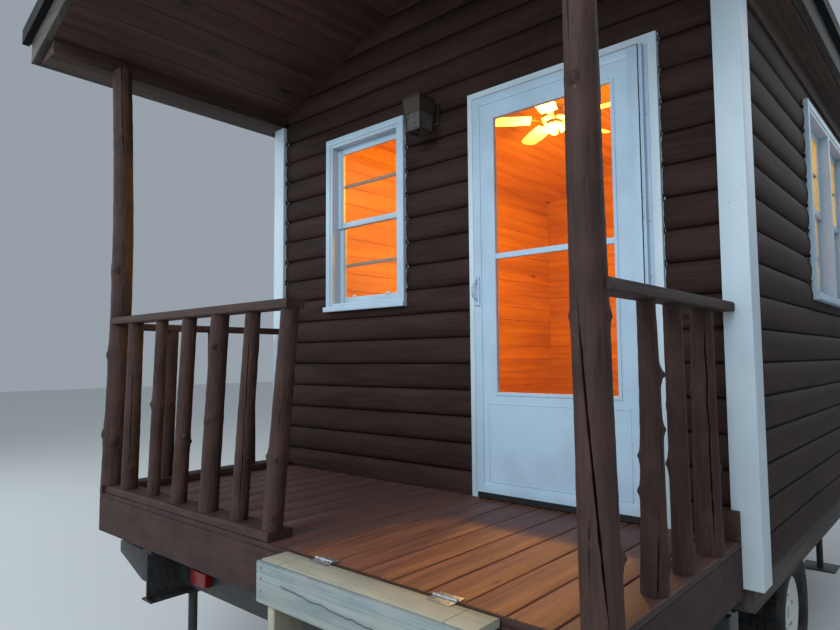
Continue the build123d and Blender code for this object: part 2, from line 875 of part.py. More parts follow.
def newel_log(fit=0, mode=Mode.ADD):
    foot = (newel_base, baluster_y, deck_height)
    head = (newel_base + newel_lean, baluster_y, rail_underside)
    peeled_log(foot, head, (newel_radius, newel_top_radius), ((0.36, 5, -1),), fit=fit, mode=mode)


with BuildPart() as newel_post:
    newel_log()
save(newel_post, "newel_post")

# Each front baluster: its share of the way from the deck's edge to the newel, lean, radii and knots
front_saplings = (
    (0.163, 40, (44, 38), ((0.12, 3, 1), (0.7, 2, -1))),
    (0.341, 59, (32, 30), ((0.5, 4, -1),)),
    (0.51, 75, (38, 34), ((0.36, 6, 1),)),
    (0.685, 78, (44, 41), ((0.45, 4, -1), (0.84, 4, -1))),
    (0.847, 90, (38, 33), ((0.3, 2, 1), (0.72, 2, 1))),
)
with BuildPart() as front_balusters:
    for share, lean, radii, knots in front_saplings:
        foot = -half_deck + (half_deck + newel_base) * share
        peeled_log((foot, baluster_y, sill_top), (foot + lean, baluster_y, rail_underside), radii, knots)
save(front_balusters, "front_balusters")

# Each side baluster: its side, its distance in front of the wall, its lean, its radii, bow and knots
side_saplings = (
    (-1, 840, 25, (37, 34), 0, ((0.5, 3, 1),)),
    (-1, 560, 10, (40, 35), 8, ((0.3, 4, 1),)),
    (-1, 280, -8, (37, 34), 0, ((0.62, 4, -1),)),
    (1, 756, 0, (43, 29), 12, ((0.1, 6, 1), (0.34, 4, -1), (0.46, 5, -1), (0.55, 4, 1), (0.74, 10, 1))),
    (1, 515, -22, (34, 31), 0, ((0.4, 4, -1), (0.62, 3, -1))),
    (1, 245, 0, (48, 40), -6, ((0.35, 4, 1), (0.66, 4, -1))),
)
with BuildPart() as side_balusters:
    for side, from_wall, lean, radii, bow, knots in side_saplings:
        x, y = side * (half_deck - side_baluster_inset), wall_front - from_wall
        foot_level = sill_top if side < 0 else deck_height
        peeled_log((x, y, foot_level), (x, y + lean, side_rail_underside), radii, knots, (0, bow))
save(side_balusters, "side_balusters")

# Railings: flat top rails, and sill planks under the front and left balusters
with BuildPart() as top_rails:
    rail_back = baluster_y + rail_width / 2
    rail_end = newel_base + newel_lean + newel_top_radius + rail_overhang
    rail_start = post_foot(-1)[0] + rail_post_lap
    block((rail_start, baluster_y - rail_width / 2, rail_underside), (rail_end, rail_back, rail_top))
    for side, start in ((-1, rail_back + rail_fit), (1, post_foot(1)[1])):
        rail_middle = half_deck - side_rail_inset
        near, far = sorted((side * (rail_middle - rail_width / 2), side * (rail_middle + rail_width / 2)))
        block((near, start, side_rail_underside), (far, wall_front - trim_thickness, side_rail_top))
    for side in (-1, 1):
        post_log(side, rail_fit, Mode.SUBTRACT)
save(top_rails, "top_rails")

with BuildPart() as sill_planks:
    block(front_plank_low, front_plank_high)
    block(
        (-half_deck, front_plank_high[1] + rail_fit, deck_height),
        (-half_deck + sill_plank_width, wall_front - trim_thickness, sill_top),
    )
    newel_log(rail_fit, Mode.SUBTRACT)
    block(
        (half_deck - corner_block_width, wall_front - rim_board, deck_height),
        (half_deck, wall_front, deck_height + corner_block_height),
    )
save(sill_planks, "sill_planks")

# Folding step: cut stringers, treads, a top board with its riser, and two butt hinges at the deck's edge
step_back = deck_front - step_gap
step_face = step_back - step_top_depth
step_right = step_left + step_width
riser = deck_height / step_risers
stringer_front = step_face + riser_board_thickness
with BuildPart() as step_stringers:
    stringer_top = deck_height - step_top_thickness
    outline = [(step_back, stringer_top), (stringer_front, stringer_top)]
    for i in range(1, step_risers):
        seat = deck_height - i * riser - tread_thickness
        outline += [(stringer_front - (i - 1) * tread_run, seat), (stringer_front - i * tread_run, seat)]
    toe = stringer_front - (step_risers - 1) * tread_run
    heel = toe + tread_run - stringer_cut
    back_low = (step_back - heel) * riser / tread_run
    outline += [(toe, 0), (heel, 0), (step_back, back_low)]
    for left in (step_left + stringer_inset, step_right - stringer_inset - stringer_thickness):
        prism(along(left), outline, stringer_thickness)
save(step_stringers, "step_stringers")

with BuildPart() as step_treads:
    for i in range(1, step_risers):
        level = deck_height - i * riser
        nose = stringer_front - i * tread_run - tread_nosing
        block(
            (step_left + stringer_inset, nose, level - tread_thickness),
            (step_right - stringer_inset, nose + tread_run + tread_nosing - tread_gap, level),
        )
    block((step_left, step_face, deck_height - step_top_thickness), (step_right, step_back, deck_height))
save(step_treads, "step_treads")

with BuildPart() as step_riser:
    block(
        (step_left, step_face, deck_height - step_top_thickness - riser_board_height),
        (step_right, stringer_front, deck_height - step_top_thickness),
    )
save(step_riser, "step_riser")

step_pin_y = deck_front - step_gap / 2
step_pin_z = deck_height + step_pin_rise
hinge_lefts = (step_left + step_hinge_inset, step_right - step_hinge_inset - step_leaf_length)
knuckle = step_leaf_length / 3
leaf_back_y = deck_front + step_leaf_gap + step_leaf_width
leaf_front_y = 2 * step_pin_y - leaf_back_y


def hinge_barrel(left, length, radius, mode=Mode.ADD):
    plane = Plane(origin=(left, step_pin_y, step_pin_z), z_dir=(1, 0, 0))
    turned(plane, [(0, radius), (length, radius)], knuckle_sides, mode)


def hinge_web(left, length, to_y):
    """Joins a knuckle to its leaf."""
    near, far = sorted((step_pin_y, to_y))
    block((left, near, deck_height), (left + length, far, deck_height + step_leaf_gauge))


with BuildPart() as deck_hinge_leaves:
    for left in hinge_lefts:
        right = left + step_leaf_length
        leaf_near = deck_front + step_leaf_gap
        block((left, leaf_near, deck_height), (right, leaf_back_y, deck_height + step_leaf_gauge))
        for start in (left, right - knuckle + knuckle_gap):
            hinge_barrel(start, knuckle - knuckle_gap, knuckle_radius)
            hinge_web(start, knuckle - knuckle_gap, leaf_back_y)
        hinge_barrel(left, step_leaf_length, step_pin_radius)
save(deck_hinge_leaves, "deck_hinge_leaves")

with BuildPart() as step_hinge_leaves:
    for left in hinge_lefts:
        right = left + step_leaf_length
        leaf_near = 2 * step_pin_y - deck_front - step_leaf_gap
        block((left, leaf_front_y, deck_height), (right, leaf_near, deck_height + step_leaf_gauge))
        hinge_barrel(left + knuckle + knuckle_gap, knuckle - 2 * knuckle_gap, knuckle_radius)
        hinge_web(left + knuckle + knuckle_gap, knuckle - 2 * knuckle_gap, leaf_front_y)
        hinge_barrel(left, step_leaf_length, step_pin_radius + running_gap, Mode.SUBTRACT)
save(step_hinge_leaves, "step_hinge_leaves")

# Steel chassis: two I-beams with cross members between them and tapered outriggers outside
with BuildPart() as chassis_rails:
    for side in (-1, 1):
        centre = side * rail_x
        with BuildSketch(across(wall_back)):
            with Locations((centre, chassis_top - flange_thickness / 2)):
                Rectangle(beam_flange, flange_thickness)
            with Locations((centre, chassis_bottom + flange_thickness / 2)):
                Rectangle(beam_flange, flange_thickness)
            with Locations((centre, chassis_top - beam_depth / 2)):
                Rectangle(beam_web, beam_depth)
        extrude(amount=wall_back - rails_front)
save(chassis_rails, "chassis_rails")

chassis_length = wall_back - rails_front
with BuildPart() as cross_members:
    count = round((chassis_length - 2 * cross_inset) / cross_spacing)
    pitch = (chassis_length - 2 * cross_inset) / count
    for i in range(count + 1):
        low = rails_front + cross_inset + i * pitch
        block(
            (-rail_x + beam_web / 2, low - cross_width / 2, chassis_top - flange_thickness - cross_depth),
            (rail_x - beam_web / 2, low + cross_width / 2, chassis_top - flange_thickness),
        )
save(cross_members, "cross_members")

wheel_y = wall_front + wheel_setback
outrigger_end = half_deck - outrigger_inset
with BuildPart() as outriggers:
    for side in (-1, 1):
        x0 = side * (rail_x + beam_flange / 2)
        x1 = side * outrigger_end
        root = side * (rail_x + beam_web / 2)
        below = chassis_top - flange_thickness
        outline = [
            (root, below),
            (x0, below),
            (x0, chassis_top),
            (x1, chassis_top),
            (x1, chassis_top - outrigger_outer),
            (x0, chassis_top - outrigger_inner),
            (root, chassis_top - outrigger_inner),
        ]
        for i in range(5):
            place = rails_front + outrigger_thickness + i * outrigger_spacing
            if abs(place - wheel_y) > tyre_radius + 2 * outrigger_thickness:
                prism(across(place), outline, outrigger_thickness)
save(outriggers, "outriggers")

# Axle on two leaf springs
axle_z = tyre_radius
tyre_inner = rail_x + tyre_outset
wheel_centre = tyre_inner + tyre_width / 2
with BuildPart() as axle:
    centre = Plane(origin=(0, wheel_y, axle_z), z_dir=(1, 0, 0))
    tube_end = tyre_inner - axle_end_gap
    turned(centre, [(-tube_end, axle_radius), (tube_end, axle_radius)], round_sides)
    spindle_end = wheel_centre + spindle_reach
    turned(centre, [(-spindle_end, spindle_radius), (spindle_end, spindle_radius)], round_sides)
save(axle, "axle")

with BuildPart() as leaf_springs:
    spring_low = axle_z + axle_radius
    eye_z = chassis_bottom - eye_drop
    for side in (-1, 1):
        with BuildSketch(along(side * rail_x - spring_width / 2)):
            with BuildLine():
                ends = wheel_y - spring_length / 2, wheel_y + spring_length / 2
                low = eye_z - spring_drop
                ThreePointArc((ends[0], low), (wheel_y, spring_low), (ends[1], low))
                Line((ends[1], low), (ends[1], eye_z))
                ThreePointArc((ends[1], eye_z), (wheel_y, spring_low + spring_thickness), (ends[0], eye_z))
                Line((ends[0], eye_z), (ends[0], low))
            make_face()
            hanger = chassis_bottom - eye_z + spring_drop
            for end in ends:
                with Locations((end, chassis_bottom)):
                    Rectangle(hanger_width, hanger, align=(Align.CENTER, Align.MAX))
        extrude(amount=spring_width)
save(leaf_springs, "leaf_springs")

# Wheels: a tyre and a pressed rim with its hub on each side
tyre_half = tyre_width / 2
rim_half = tyre_half - bead_inset
dish = rim_half - dish_depth
for side, side_name in ((-1, "left"), (1, "right")):
    plane = Plane(origin=(side * wheel_centre, wheel_y, axle_z), x_dir=(0, 1, 0), z_dir=(side, 0, 0))
    with BuildPart() as tyre:
        shoulder = tyre_radius - tread_edge
        tread = tyre_half - tread_edge
        outside = [(-tyre_half, shoulder), (-tread, tyre_radius), (tread, tyre_radius), (tyre_half, shoulder)]
        turned(plane, outside, wheel_sides)
        bead = rim_radius + 2 * bead_inset
        inside = [(-tyre_half, bead), (-rim_half, rim_radius), (rim_half, rim_radius), (tyre_half, bead)]
        turned(plane, inside, wheel_sides, Mode.SUBTRACT)
    save(tyre, f"tyre_{side_name}")
    with BuildPart() as rim:
        inner = rim_radius - rim_gauge
        turned(plane, [(-rim_half, rim_radius), (rim_half, rim_radius)], wheel_sides)
        turned(plane, [(dish, inner), (rim_half, inner)], wheel_sides, Mode.SUBTRACT)
        turned(plane, [(-rim_half, inner), (dish - 2 * rim_gauge, inner)], wheel_sides, Mode.SUBTRACT)
        hub_plane = plane.offset(-hub_length / 2)
        turned(hub_plane, [(0, hub_radius), (hub_length, hub_radius)], round_sides)
        with BuildSketch(hub_plane) as bore:
            Circle(spindle_radius + running_gap)
        extrude(bore.sketch, amount=hub_length, mode=Mode.SUBTRACT)
    save(rim, f"rim_{side_name}")

# Screw stands under the corners of the chassis, and the jack of the towing tongue
tongue_top = chassis_top - flange_thickness - cross_depth + tongue_depth
hitch_end = wall_back + hitch_reach
jack_y = hitch_end - jack_setback
coupler_back = hitch_end - coupler_length
with BuildPart() as jack_stands:
    for side in (-1, 1):
        for place in (rails_front + stand_inset, wall_back - stand_inset):
            centre = side * rail_x, place
            block(
                (centre[0] - stand_base / 2, place - stand_base / 2, 0),
                (centre[0] + stand_base / 2, place + stand_base / 2, stand_plate),
            )
            tube = [(stand_plate, stand_tube_radius), (chassis_bottom - stand_plate, stand_tube_radius)]
            turned(Plane(origin=(*centre, 0)), tube, round_sides)
            block(
                (centre[0] - beam_flange / 2, place - beam_flange / 2, chassis_bottom - stand_plate),
                (centre[0] + beam_flange / 2, place + beam_flange / 2, chassis_bottom),
            )
    block((-jack_base / 2, jack_y - jack_base / 2, 0), (jack_base / 2, jack_y + jack_base / 2, stand_plate))
    tube = [(stand_plate, stand_tube_radius), (tongue_top + jack_head, stand_tube_radius)]
    turned(Plane(origin=(0, jack_y, 0)), tube, round_sides)
save(jack_stands, "jack_stands")

# Towing tongue at the back: two channels that meet at the coupler, with its jack
with BuildPart() as hitch_tongue:
    for side in (-1, 1):
        outline = [
            (side * (rail_x - beam_flange / 2), wall_back),
            (side * (rail_x - beam_flange / 2 - tongue_spread), wall_back),
            (side * coupler_width / 4, coupler_back),
            (side * coupler_width / 4, coupler_back + tongue_overlap),
            (side * coupler_width / 2, coupler_back + tongue_overlap),
        ]
        prism(Plane.XY.offset(tongue_top - tongue_depth), outline, tongue_depth)
    block(
        (-rail_x - beam_flange / 2, wall_back, tongue_top - tongue_depth),
        (rail_x + beam_flange / 2, wall_back + tongue_width, tongue_top),
    )
    block(
        (-jack_plate / 2, jack_y - jack_plate / 4, tongue_top),
        (jack_plate / 2, jack_y + jack_plate / 4, tongue_top + stand_plate),
    )
    clear = stand_tube_radius + rail_fit
    hole = [(tongue_top, clear), (tongue_top + stand_plate, clear)]
    turned(Plane(origin=(0, jack_y, 0)), hole, round_sides, Mode.SUBTRACT)
    block(
        (-coupler_width / 2, coupler_back, tongue_top - coupler_depth),
        (coupler_width / 2, hitch_end, tongue_top),
    )
save(hitch_tongue, "hitch_tongue")

with BuildPart() as tail_lights:
    for side in (-1, 1):
        centre = side * (rail_x - tail_light_inset)
        seat = rails_front + cross_inset - cross_width / 2
        low = chassis_top - tail_light_drop
        block(
            (centre - tail_light_width / 2, seat - tail_light_depth, low),
            (centre + tail_light_width / 2, seat, low + tail_light_height),
        )
save(tail_lights, "tail_lights")

# Ceiling fan under the ridge
fan_y = wall_front + fan_setback
rotor_top = ridge_under - fan_hang
rotor_bottom = rotor_top - fan_rotor_height
fan_plane = Plane(origin=(0, fan_y, 0))
coupling_low = rotor_top + fan_coupling_gap
with BuildPart() as fan_mount:
    for low, high, radius in (
        (rotor_bottom - light_drop, ridge_under, fan_shaft_radius),
        (coupling_low, coupling_low + fan_coupling_height, fan_coupling_radius),
        (ridge_under - fan_canopy_depth, ridge_under, fan_canopy_radius),
    ):
        turned(fan_plane, [(low, radius), (high, radius)], round_sides)
    cut_to_roof(fan_y - fan_rotor_radius, 2 * fan_rotor_radius)
    bowl = [
        (rotor_bottom - 2 * light_drop, fan_light_radius * light_taper),
        (rotor_bottom - light_drop, fan_light_radius),
    ]
    turned(fan_plane, bowl, round_sides)
save(fan_mount, "fan_mount")

with BuildPart() as fan_rotor:
    turned(fan_plane, [(rotor_bottom, fan_rotor_radius), (rotor_top, fan_rotor_radius)], wheel_sides)
    blade_root = fan_rotor_radius - fan_blade_root
    with BuildSketch(Plane.XY.offset(rotor_bottom + fan_blade_rise)):
        with Locations((0, fan_y)):
            with PolarLocations(blade_root, fan_blade_count):
                Trapezoid(
                    fan_blade_width,
                    fan_radius - blade_root,
                    fan_blade_angle,
                    rotation=-90,
                    align=(Align.CENTER, Align.MIN),
                )
    extrude(amount=fan_blade_thickness)
    with BuildSketch(Plane.XY.offset(rotor_bottom)):
        with Locations((0, fan_y)):
            Circle(fan_shaft_radius + running_gap)
    extrude(amount=fan_rotor_height, mode=Mode.SUBTRACT)
save(fan_rotor, "fan_rotor")
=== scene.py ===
"""The finish of a small log-sided cabin on a towable chassis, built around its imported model."""
import json
import math

import bmesh
import bpy
from mathutils import Matrix, Vector, noise


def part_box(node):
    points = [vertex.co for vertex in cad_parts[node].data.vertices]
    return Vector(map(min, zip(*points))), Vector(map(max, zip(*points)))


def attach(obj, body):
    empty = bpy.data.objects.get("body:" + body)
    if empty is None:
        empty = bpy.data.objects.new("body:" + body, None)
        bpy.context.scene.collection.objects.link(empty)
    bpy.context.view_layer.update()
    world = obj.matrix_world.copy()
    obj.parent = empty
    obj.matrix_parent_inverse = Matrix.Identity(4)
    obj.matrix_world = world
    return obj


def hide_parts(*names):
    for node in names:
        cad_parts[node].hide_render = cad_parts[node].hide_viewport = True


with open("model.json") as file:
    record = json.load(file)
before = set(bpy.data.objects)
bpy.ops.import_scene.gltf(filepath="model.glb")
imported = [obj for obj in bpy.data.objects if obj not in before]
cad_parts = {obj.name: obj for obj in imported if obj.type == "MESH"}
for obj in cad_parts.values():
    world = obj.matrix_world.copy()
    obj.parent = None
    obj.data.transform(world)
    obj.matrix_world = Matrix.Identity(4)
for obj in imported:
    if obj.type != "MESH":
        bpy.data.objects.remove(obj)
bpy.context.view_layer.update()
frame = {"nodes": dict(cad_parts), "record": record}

# Places read from the frame
deck_low, deck_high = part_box("deck_boards")
deck = deck_high.z
deck_front = deck_low.y
wall_low, wall_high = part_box("front_gable")
wall_front = wall_low.y
wall_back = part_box("back_wall")[1].y
half_cabin = wall_high.x
siding_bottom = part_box("front_wall_left")[0].z
door_low, door_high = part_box("storm_door_leaf")
riser_low, riser_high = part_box("step_riser")

# Sizes that finishes and shapes share
COURSE = 0.1397                 # of the log siding
LINING_PITCH = 0.133
DECK_BOARDS = 20
DECK_GAP = 0.005
SIDES = {-1: "left", 1: "right"}

# Camera of the photograph, from its vanishing points
IMAGE_WIDTH = 840
FOCAL_PIXELS = 637.09
SENSOR_WIDTH = 36.0
CAMERA_TURN = math.radians(41.425)
CAMERA_TILT = math.radians(3.929)
CAMERA_ROLL = math.radians(-0.469)
CAMERA_RIGHT = 2.1755           # from the middle of the cabin
CAMERA_AHEAD = 2.67             # in front of the front wall
CAMERA_ABOVE = 0.70             # above the deck


def place_camera():
    ahead = Vector(
        (
            -math.sin(CAMERA_TURN) * math.cos(CAMERA_TILT),
            math.cos(CAMERA_TURN) * math.cos(CAMERA_TILT),
            math.sin(CAMERA_TILT),
        )
    )
    level = Vector((math.cos(CAMERA_TURN), math.sin(CAMERA_TURN), 0))
    upright = level.cross(ahead)
    right = math.cos(CAMERA_ROLL) * level + math.sin(CAMERA_ROLL) * upright
    up = right.cross(ahead)
    lens = bpy.data.cameras.new("viewpoint")
    lens.sensor_width = SENSOR_WIDTH
    lens.lens = FOCAL_PIXELS / IMAGE_WIDTH * SENSOR_WIDTH
    lens.clip_start = 0.05
    camera = bpy.data.objects.new("viewpoint", lens)
    turn = Matrix((right, up, -ahead)).transposed().to_4x4()
    spot = Vector((CAMERA_RIGHT, wall_front - CAMERA_AHEAD, deck + CAMERA_ABOVE))
    camera.matrix_world = Matrix.Translation(spot) @ turn
    bpy.context.scene.collection.objects.link(camera)
    bpy.context.scene.camera = camera


# Shader maths
class Signal:
    """A shader socket that stands in a Python expression."""

    def __init__(self, finish, socket):
        self.finish = finish
        self.socket = socket

    def math(self, operation, *others):
        return self.finish.math(operation, self, *others)

    def __add__(self, other):
        return self.math("ADD", other)

    def __sub__(self, other):
        return self.math("SUBTRACT", other)

    def __mul__(self, other):
        return self.math("MULTIPLY", other)

    def __truediv__(self, other):
        return self.math("DIVIDE", other)

    def __radd__(self, other):
        return self.finish.math("ADD", other, self)

    def __rsub__(self, other):
        return self.finish.math("SUBTRACT", other, self)

    def __rmul__(self, other):
        return self.finish.math("MULTIPLY", other, self)

    def floor(self):
        return self.math("FLOOR")

    def fract(self):
        return self.math("FRACT")

    def absolute(self):
        return self.math("ABSOLUTE")


class Finish:
    """The nodes of one material. Sockets that stay the same are set by name in the call."""

    def __init__(self, name, **constants):
        self.material = bpy.data.materials.new(name)
        self.material.use_nodes = True
        self.tree = self.material.node_tree
        self.shader = self.tree.nodes["Principled BSDF"]
        for socket, value in constants.items():
            self.feed(self.shader.inputs[socket.replace("_", " ")], value)
        self.place = self.node("TexCoord").outputs["Object"]
        split = self.node("SeparateXYZ", inputs={0: self.place})
        self.x, self.y, self.z = (Signal(self, split.outputs[axis]) for axis in range(3))

    def feed(self, socket, value):
        if isinstance(value, Signal):
            value = value.socket
        if isinstance(value, bpy.types.NodeSocket):
            self.tree.links.new(value, socket)
        elif hasattr(value, "__len__") and len(value) == 3 and socket.type == "RGBA":
            socket.default_value = (*value, 1)
        else:
            socket.default_value = value

    def node(self, kind, settings=None, inputs=None):
        """Adds a node; its settings are made first, then its sockets are fed by name or number."""
        node = self.tree.nodes.new("ShaderNode" + kind)
        for name, value in (settings or {}).items():
            setattr(node, name, value)
        for key, value in (inputs or {}).items():
            self.feed(node.inputs[key], value)
        return node

    def math(self, operation, *values):
        node = self.node("Math", {"operation": operation}, dict(enumerate(values)))
        return Signal(self, node.outputs[0])

    def vector(self, x, y, z):
        return self.node("CombineXYZ", inputs={0: x, 1: y, 2: z}).outputs[0]

    def spread(self, where):
        """A vector as it is, or the object's place scaled by one number or by three."""
        if isinstance(where, bpy.types.NodeSocket):
            return where
        scales = where if isinstance(where, tuple) else (where, where, where)
        return self.node("VectorMath", {"operation": "MULTIPLY"}, {0: self.place, 1: scales}).outputs[0]

    def noise(self, where, detail=3.0, roughness=0.55, distortion=0.0):
        inputs = {"Vector": self.spread(where), "Scale": 1.0, "Detail": detail, "Roughness": roughness}
        inputs["Distortion"] = distortion
        return Signal(self, self.node("TexNoise", inputs=inputs).outputs["Fac"])

    def cells(self, where, scale=1.0):
        """How far the nearest of many scattered points is."""
        inputs = {"Vector": self.spread(where), "Scale": scale}
        return Signal(self, self.node("TexVoronoi", inputs=inputs).outputs["Distance"])

    def chance(self, value):
        """A random number from 0 to 1 for each value."""
        node = self.node("TexWhiteNoise", {"noise_dimensions": "1D"}, {"W": value})
        return Signal(self, node.outputs["Value"])

    def rise(self, signal, low, high, start=0.0, end=1.0):
        """Eases from start to end while the signal goes from low to high."""
        inputs = {"Value": signal, "From Min": low, "From Max": high, "To Min": start, "To Max": end}
        node = self.node("MapRange", {"interpolation_type": "SMOOTHSTEP"}, inputs)
        return Signal(self, node.outputs["Result"])

    def fall(self, signal, low, high):
        """Eases from 1 to 0 while the signal goes from low to high."""
        return self.rise(signal, low, high, 1.0, 0.0)

    def mix(self, share, one, other):
        node = self.node("Mix", {"data_type": "RGBA"}, {"Factor": share, 6: one, 7: other})
        return Signal(self, node.outputs[2])

    def layered(self, colour, *layers):
        """Lays tints over a colour; each layer is its share and its screen colour."""
        for share, tint in layers:
            colour = self.mix(share, colour, srgb(*tint))
        return colour

    def blend(self, share, dark, light, *layers):
        """A blend of two screen colours, under layers of tint."""
        return self.layered(self.mix(share, srgb(*dark), srgb(*light)), *layers)

    def done(self, colour, rough=None, height=None, distance=0.001, strength=1.0):
        """Feeds the colour, the roughness and the bump to the shader, and gives the material."""
        self.feed(self.shader.inputs["Base Color"], colour)
        if rough:
            self.feed(self.shader.inputs["Roughness"], rough)
        if height:
            node = self.node("Bump", inputs={"Height": height, "Distance": distance, "Strength": strength})
            self.feed(self.shader.inputs["Normal"], node.outputs["Normal"])
        return self.material


def srgb(red, green, blue):
    """A colour as it looks on screen, 0 to 255, as the shader's own numbers."""

    def channel(value):
        value /= 255
        return value / 12.92 if value <= 0.04045 else ((value + 0.055) / 1.055) ** 2.4

    return channel(red), channel(green), channel(blue)


def by_axis(axis, along, across):
    """Three scales: along for the given axis and across for the other two."""
    return tuple(along if name == axis else across for name in "xyz")


def wood(
    finish, along, dark, light, pitch=0.0, across=None, knots=0.0, knot_colour=None, contrast=1.0, level=1.0,
):
    """
    Wood grain along an axis; with a pitch, each board across it gets a tone of its own. A low value of level
    lets more knots reach a level face.
    """
    streaks = finish.noise(by_axis(along, 3, 120), 4.0, 0.6)
    bands = finish.noise(by_axis(along, 0.6, 14), 3.0, 0.5, 0.6)
    tone = finish.rise(streaks * 0.45 + bands * 0.55, 0.5 - 0.16 / contrast, 0.5 + 0.16 / contrast)
    colour = finish.blend(tone, dark, light)
    height = streaks * 0.6 + bands * 0.4
    if knots:
        spacing = by_axis(along, 0.35, 1)
        if along != "z":
            spacing = (*spacing[:2], level)
        ring = finish.fall(finish.cells(spacing, knots), 0.03, 0.10)
        colour = finish.layered(colour, (ring, knot_colour))
        height = height - ring * 0.5
    if pitch:
        tint = finish.chance((across / pitch).floor())
        colour = finish.layered(colour, (tint * 0.35, dark))
    return colour, height


# Finishes
def log_stain():
    """Dark stain on the logs, with grain, knots, painted shade in the seams between the courses and small
    chips.
    """
    finish = Finish("log_stain", Specular_IOR_Level=0.1)
    row = (finish.z - siding_bottom) / COURSE
    board = row.floor()
    toned = finish.chance(board)
    shift = finish.x + finish.y + toned * 9.0
    streaks = finish.noise(finish.vector(shift * 4.0, board * 3.7, finish.z * 150.0), 4.0, 0.6)
    blotches = finish.noise(finish.vector(shift * 1.4, board * 1.9, finish.z * 9.0))
    knot = finish.fall(finish.cells(finish.vector(shift * 1.6, board * 5.3, finish.z * 6.0)), 0.05, 0.12)
    # painted shade: the seams between the courses, where the logs' grooves lie, are darkened towards black
    seam = finish.rise((row.fract() - 0.5).absolute(), 0.46, 0.5)
    chip = finish.rise(finish.noise(45, 2.0), 0.77, 0.80)
    colour = finish.blend(
        finish.rise(streaks * 0.5 + blotches * 0.5, 0.34, 0.66), (38, 26, 23), (63, 45, 40),
        (toned * 0.35, (42, 29, 27)), (knot * 0.8, (30, 19, 17)), (seam * 0.75, (16, 10, 9)),
        (chip, (120, 92, 76)),
    )
    height = streaks * 0.7 + blotches * 0.5 - knot * 0.6
    return finish.done(colour, 0.6 + streaks * 0.2 + seam * 0.2, height, 0.0012, 0.9)


def rail_stain(name, along, dark=(50, 35, 31), light=(70, 50, 44)):
    """Brown solid stain on peeled logs and planks; marks are the darkened knots, with painted shade in the
    knots' ring grooves and inside the cracks.
    """
    finish = Finish(name, Specular_IOR_Level=0.2)
    streaks = finish.noise(by_axis(along, 5, 90), 4.0, 0.6)
    patches = finish.noise(7)
    wear = finish.rise(finish.noise(28, 4.0, 0.65), 0.70, 0.74)
    # painted shade: the checks are darkened where the bump cuts them in
    check = finish.rise(finish.noise(by_axis(along, 2, 70), 2.0, 0.4), 0.715, 0.735)
    # marks: darker knot centres, and painted shade in the ring grooves round the knots and inside the cracks
    mark = Signal(finish, finish.node("Attribute", {"attribute_name": "mark"}).outputs["Fac"])
    colour = finish.blend(
        finish.rise(streaks * 0.5 + patches * 0.5, 0.35, 0.65), dark, light,
        (wear * 0.5, (118, 92, 78)), (check * 0.85, (22, 14, 12)),
        (finish.rise(mark, 0.1, 0.9), (20, 12, 10)),
    )
    return finish.done(colour, 0.56 + streaks * 0.2, streaks + patches * 0.6 - check * 1.6, 0.0013, 0.9)


def deck_stain():
    """Brown stain on the deck boards, with a painted pool of orange light from the doorway on the way from
    the step to the door.
    """
    finish = Finish("deck_stain", Specular_IOR_Level=0.35)
    pitch = (deck_high.x - deck_low.x + DECK_GAP) / DECK_BOARDS
    board = ((finish.x - deck_low.x) / pitch).floor()
    toned = finish.chance(board)
    streaks = finish.noise(finish.vector(finish.x * 130, finish.y * 4 + toned * 7, finish.z * 130), 4.0, 0.62)
    bands = finish.noise(finish.vector(finish.x * 22, finish.y * 0.9 + toned * 5, board), 3.0, 0.5, 0.8)
    grain = finish.rise(streaks * 0.5 + bands * 0.5, 0.34, 0.66)
    brown = finish.blend(grain, (82, 57, 52), (106, 74, 66), (toned * 0.3, (84, 57, 53)))
    # painted light: a lighter, more orange copy of the stain, for the pool of the doorway's light on the deck
    doorway_light_colour = finish.blend(grain, (112, 68, 50), (152, 97, 68))
    # where the painted pool of light lies, between the step and the door
    path = finish.fall((finish.x - 0.78).absolute(), 0.30, 0.74)
    path = path * finish.fall(finish.y, deck_front + 0.50, deck_front + 1.05)
    ragged = finish.noise((5, 3, 5), 4.0)
    knot = finish.fall(finish.cells(finish.vector(finish.x * 9, finish.y * 2.6, board)), 0.05, 0.13)
    scuff = finish.rise(finish.noise((60, 22, 60)), 0.74, 0.78)
    side_edge = finish.rise(finish.x.absolute(), deck_high.x - 0.004, deck_high.x - 0.0015)
    colour = finish.layered(
        finish.mix(finish.rise(path + ragged * 0.5 - 0.25, 0.3, 0.75), brown, doorway_light_colour),
        (knot * 0.7, (60, 34, 26)), (scuff * 0.6, (190, 158, 128)), (side_edge, (50, 35, 31)),
    )
    return finish.done(colour, 0.46 + streaks * 0.25, streaks * 0.8 + bands * 0.6 - knot * 0.4, 0.0012, 0.9)


def white_paint():
    """Brushed white paint with dark specks, and grime near its foot. Its blue-grey tone is painted dusk
    light.
    """
    finish = Finish("white_paint", Specular_IOR_Level=0.5)
    brush = finish.noise((160, 160, 4), 3.0, 0.5)
    patches = finish.noise((3, 3, 2))
    specks = finish.fall(finish.cells((30, 30, 22)), 0.035, 0.06)
    specks = specks * finish.rise(finish.noise((6, 6, 2.4), 2.0), 0.52, 0.60)
    grime = finish.rise(finish.z, siding_bottom, siding_bottom + 0.9, 0.35, 0.0)
    # painted light: both tones of the white carry the blue of a dusk sky
    colour = finish.blend(
        finish.rise(patches, 0.3, 0.7), (184, 200, 210), (203, 216, 225),
        (specks, (46, 40, 38)), (grime * patches, (150, 146, 138)),
    )
    return finish.done(colour, 0.38 + brush * 0.16, brush * 0.4 - specks, 0.0008, 0.8)


def enamel(name, tint, roughness=0.3, gloss=0.5):
    """Factory paint with a faint orange peel and dust."""
    finish = Finish(name, Specular_IOR_Level=gloss)
    dust = finish.noise((4, 4, 3), 4.0)
    clean = srgb(*tint)
    dull = tuple(0.86 * channel for channel in clean)
    colour = finish.mix(finish.rise(dust, 0.35, 0.7), clean, dull)
    return finish.done(colour, roughness + dust * 0.15, finish.noise(90, 2.0), 0.0002, 0.5)


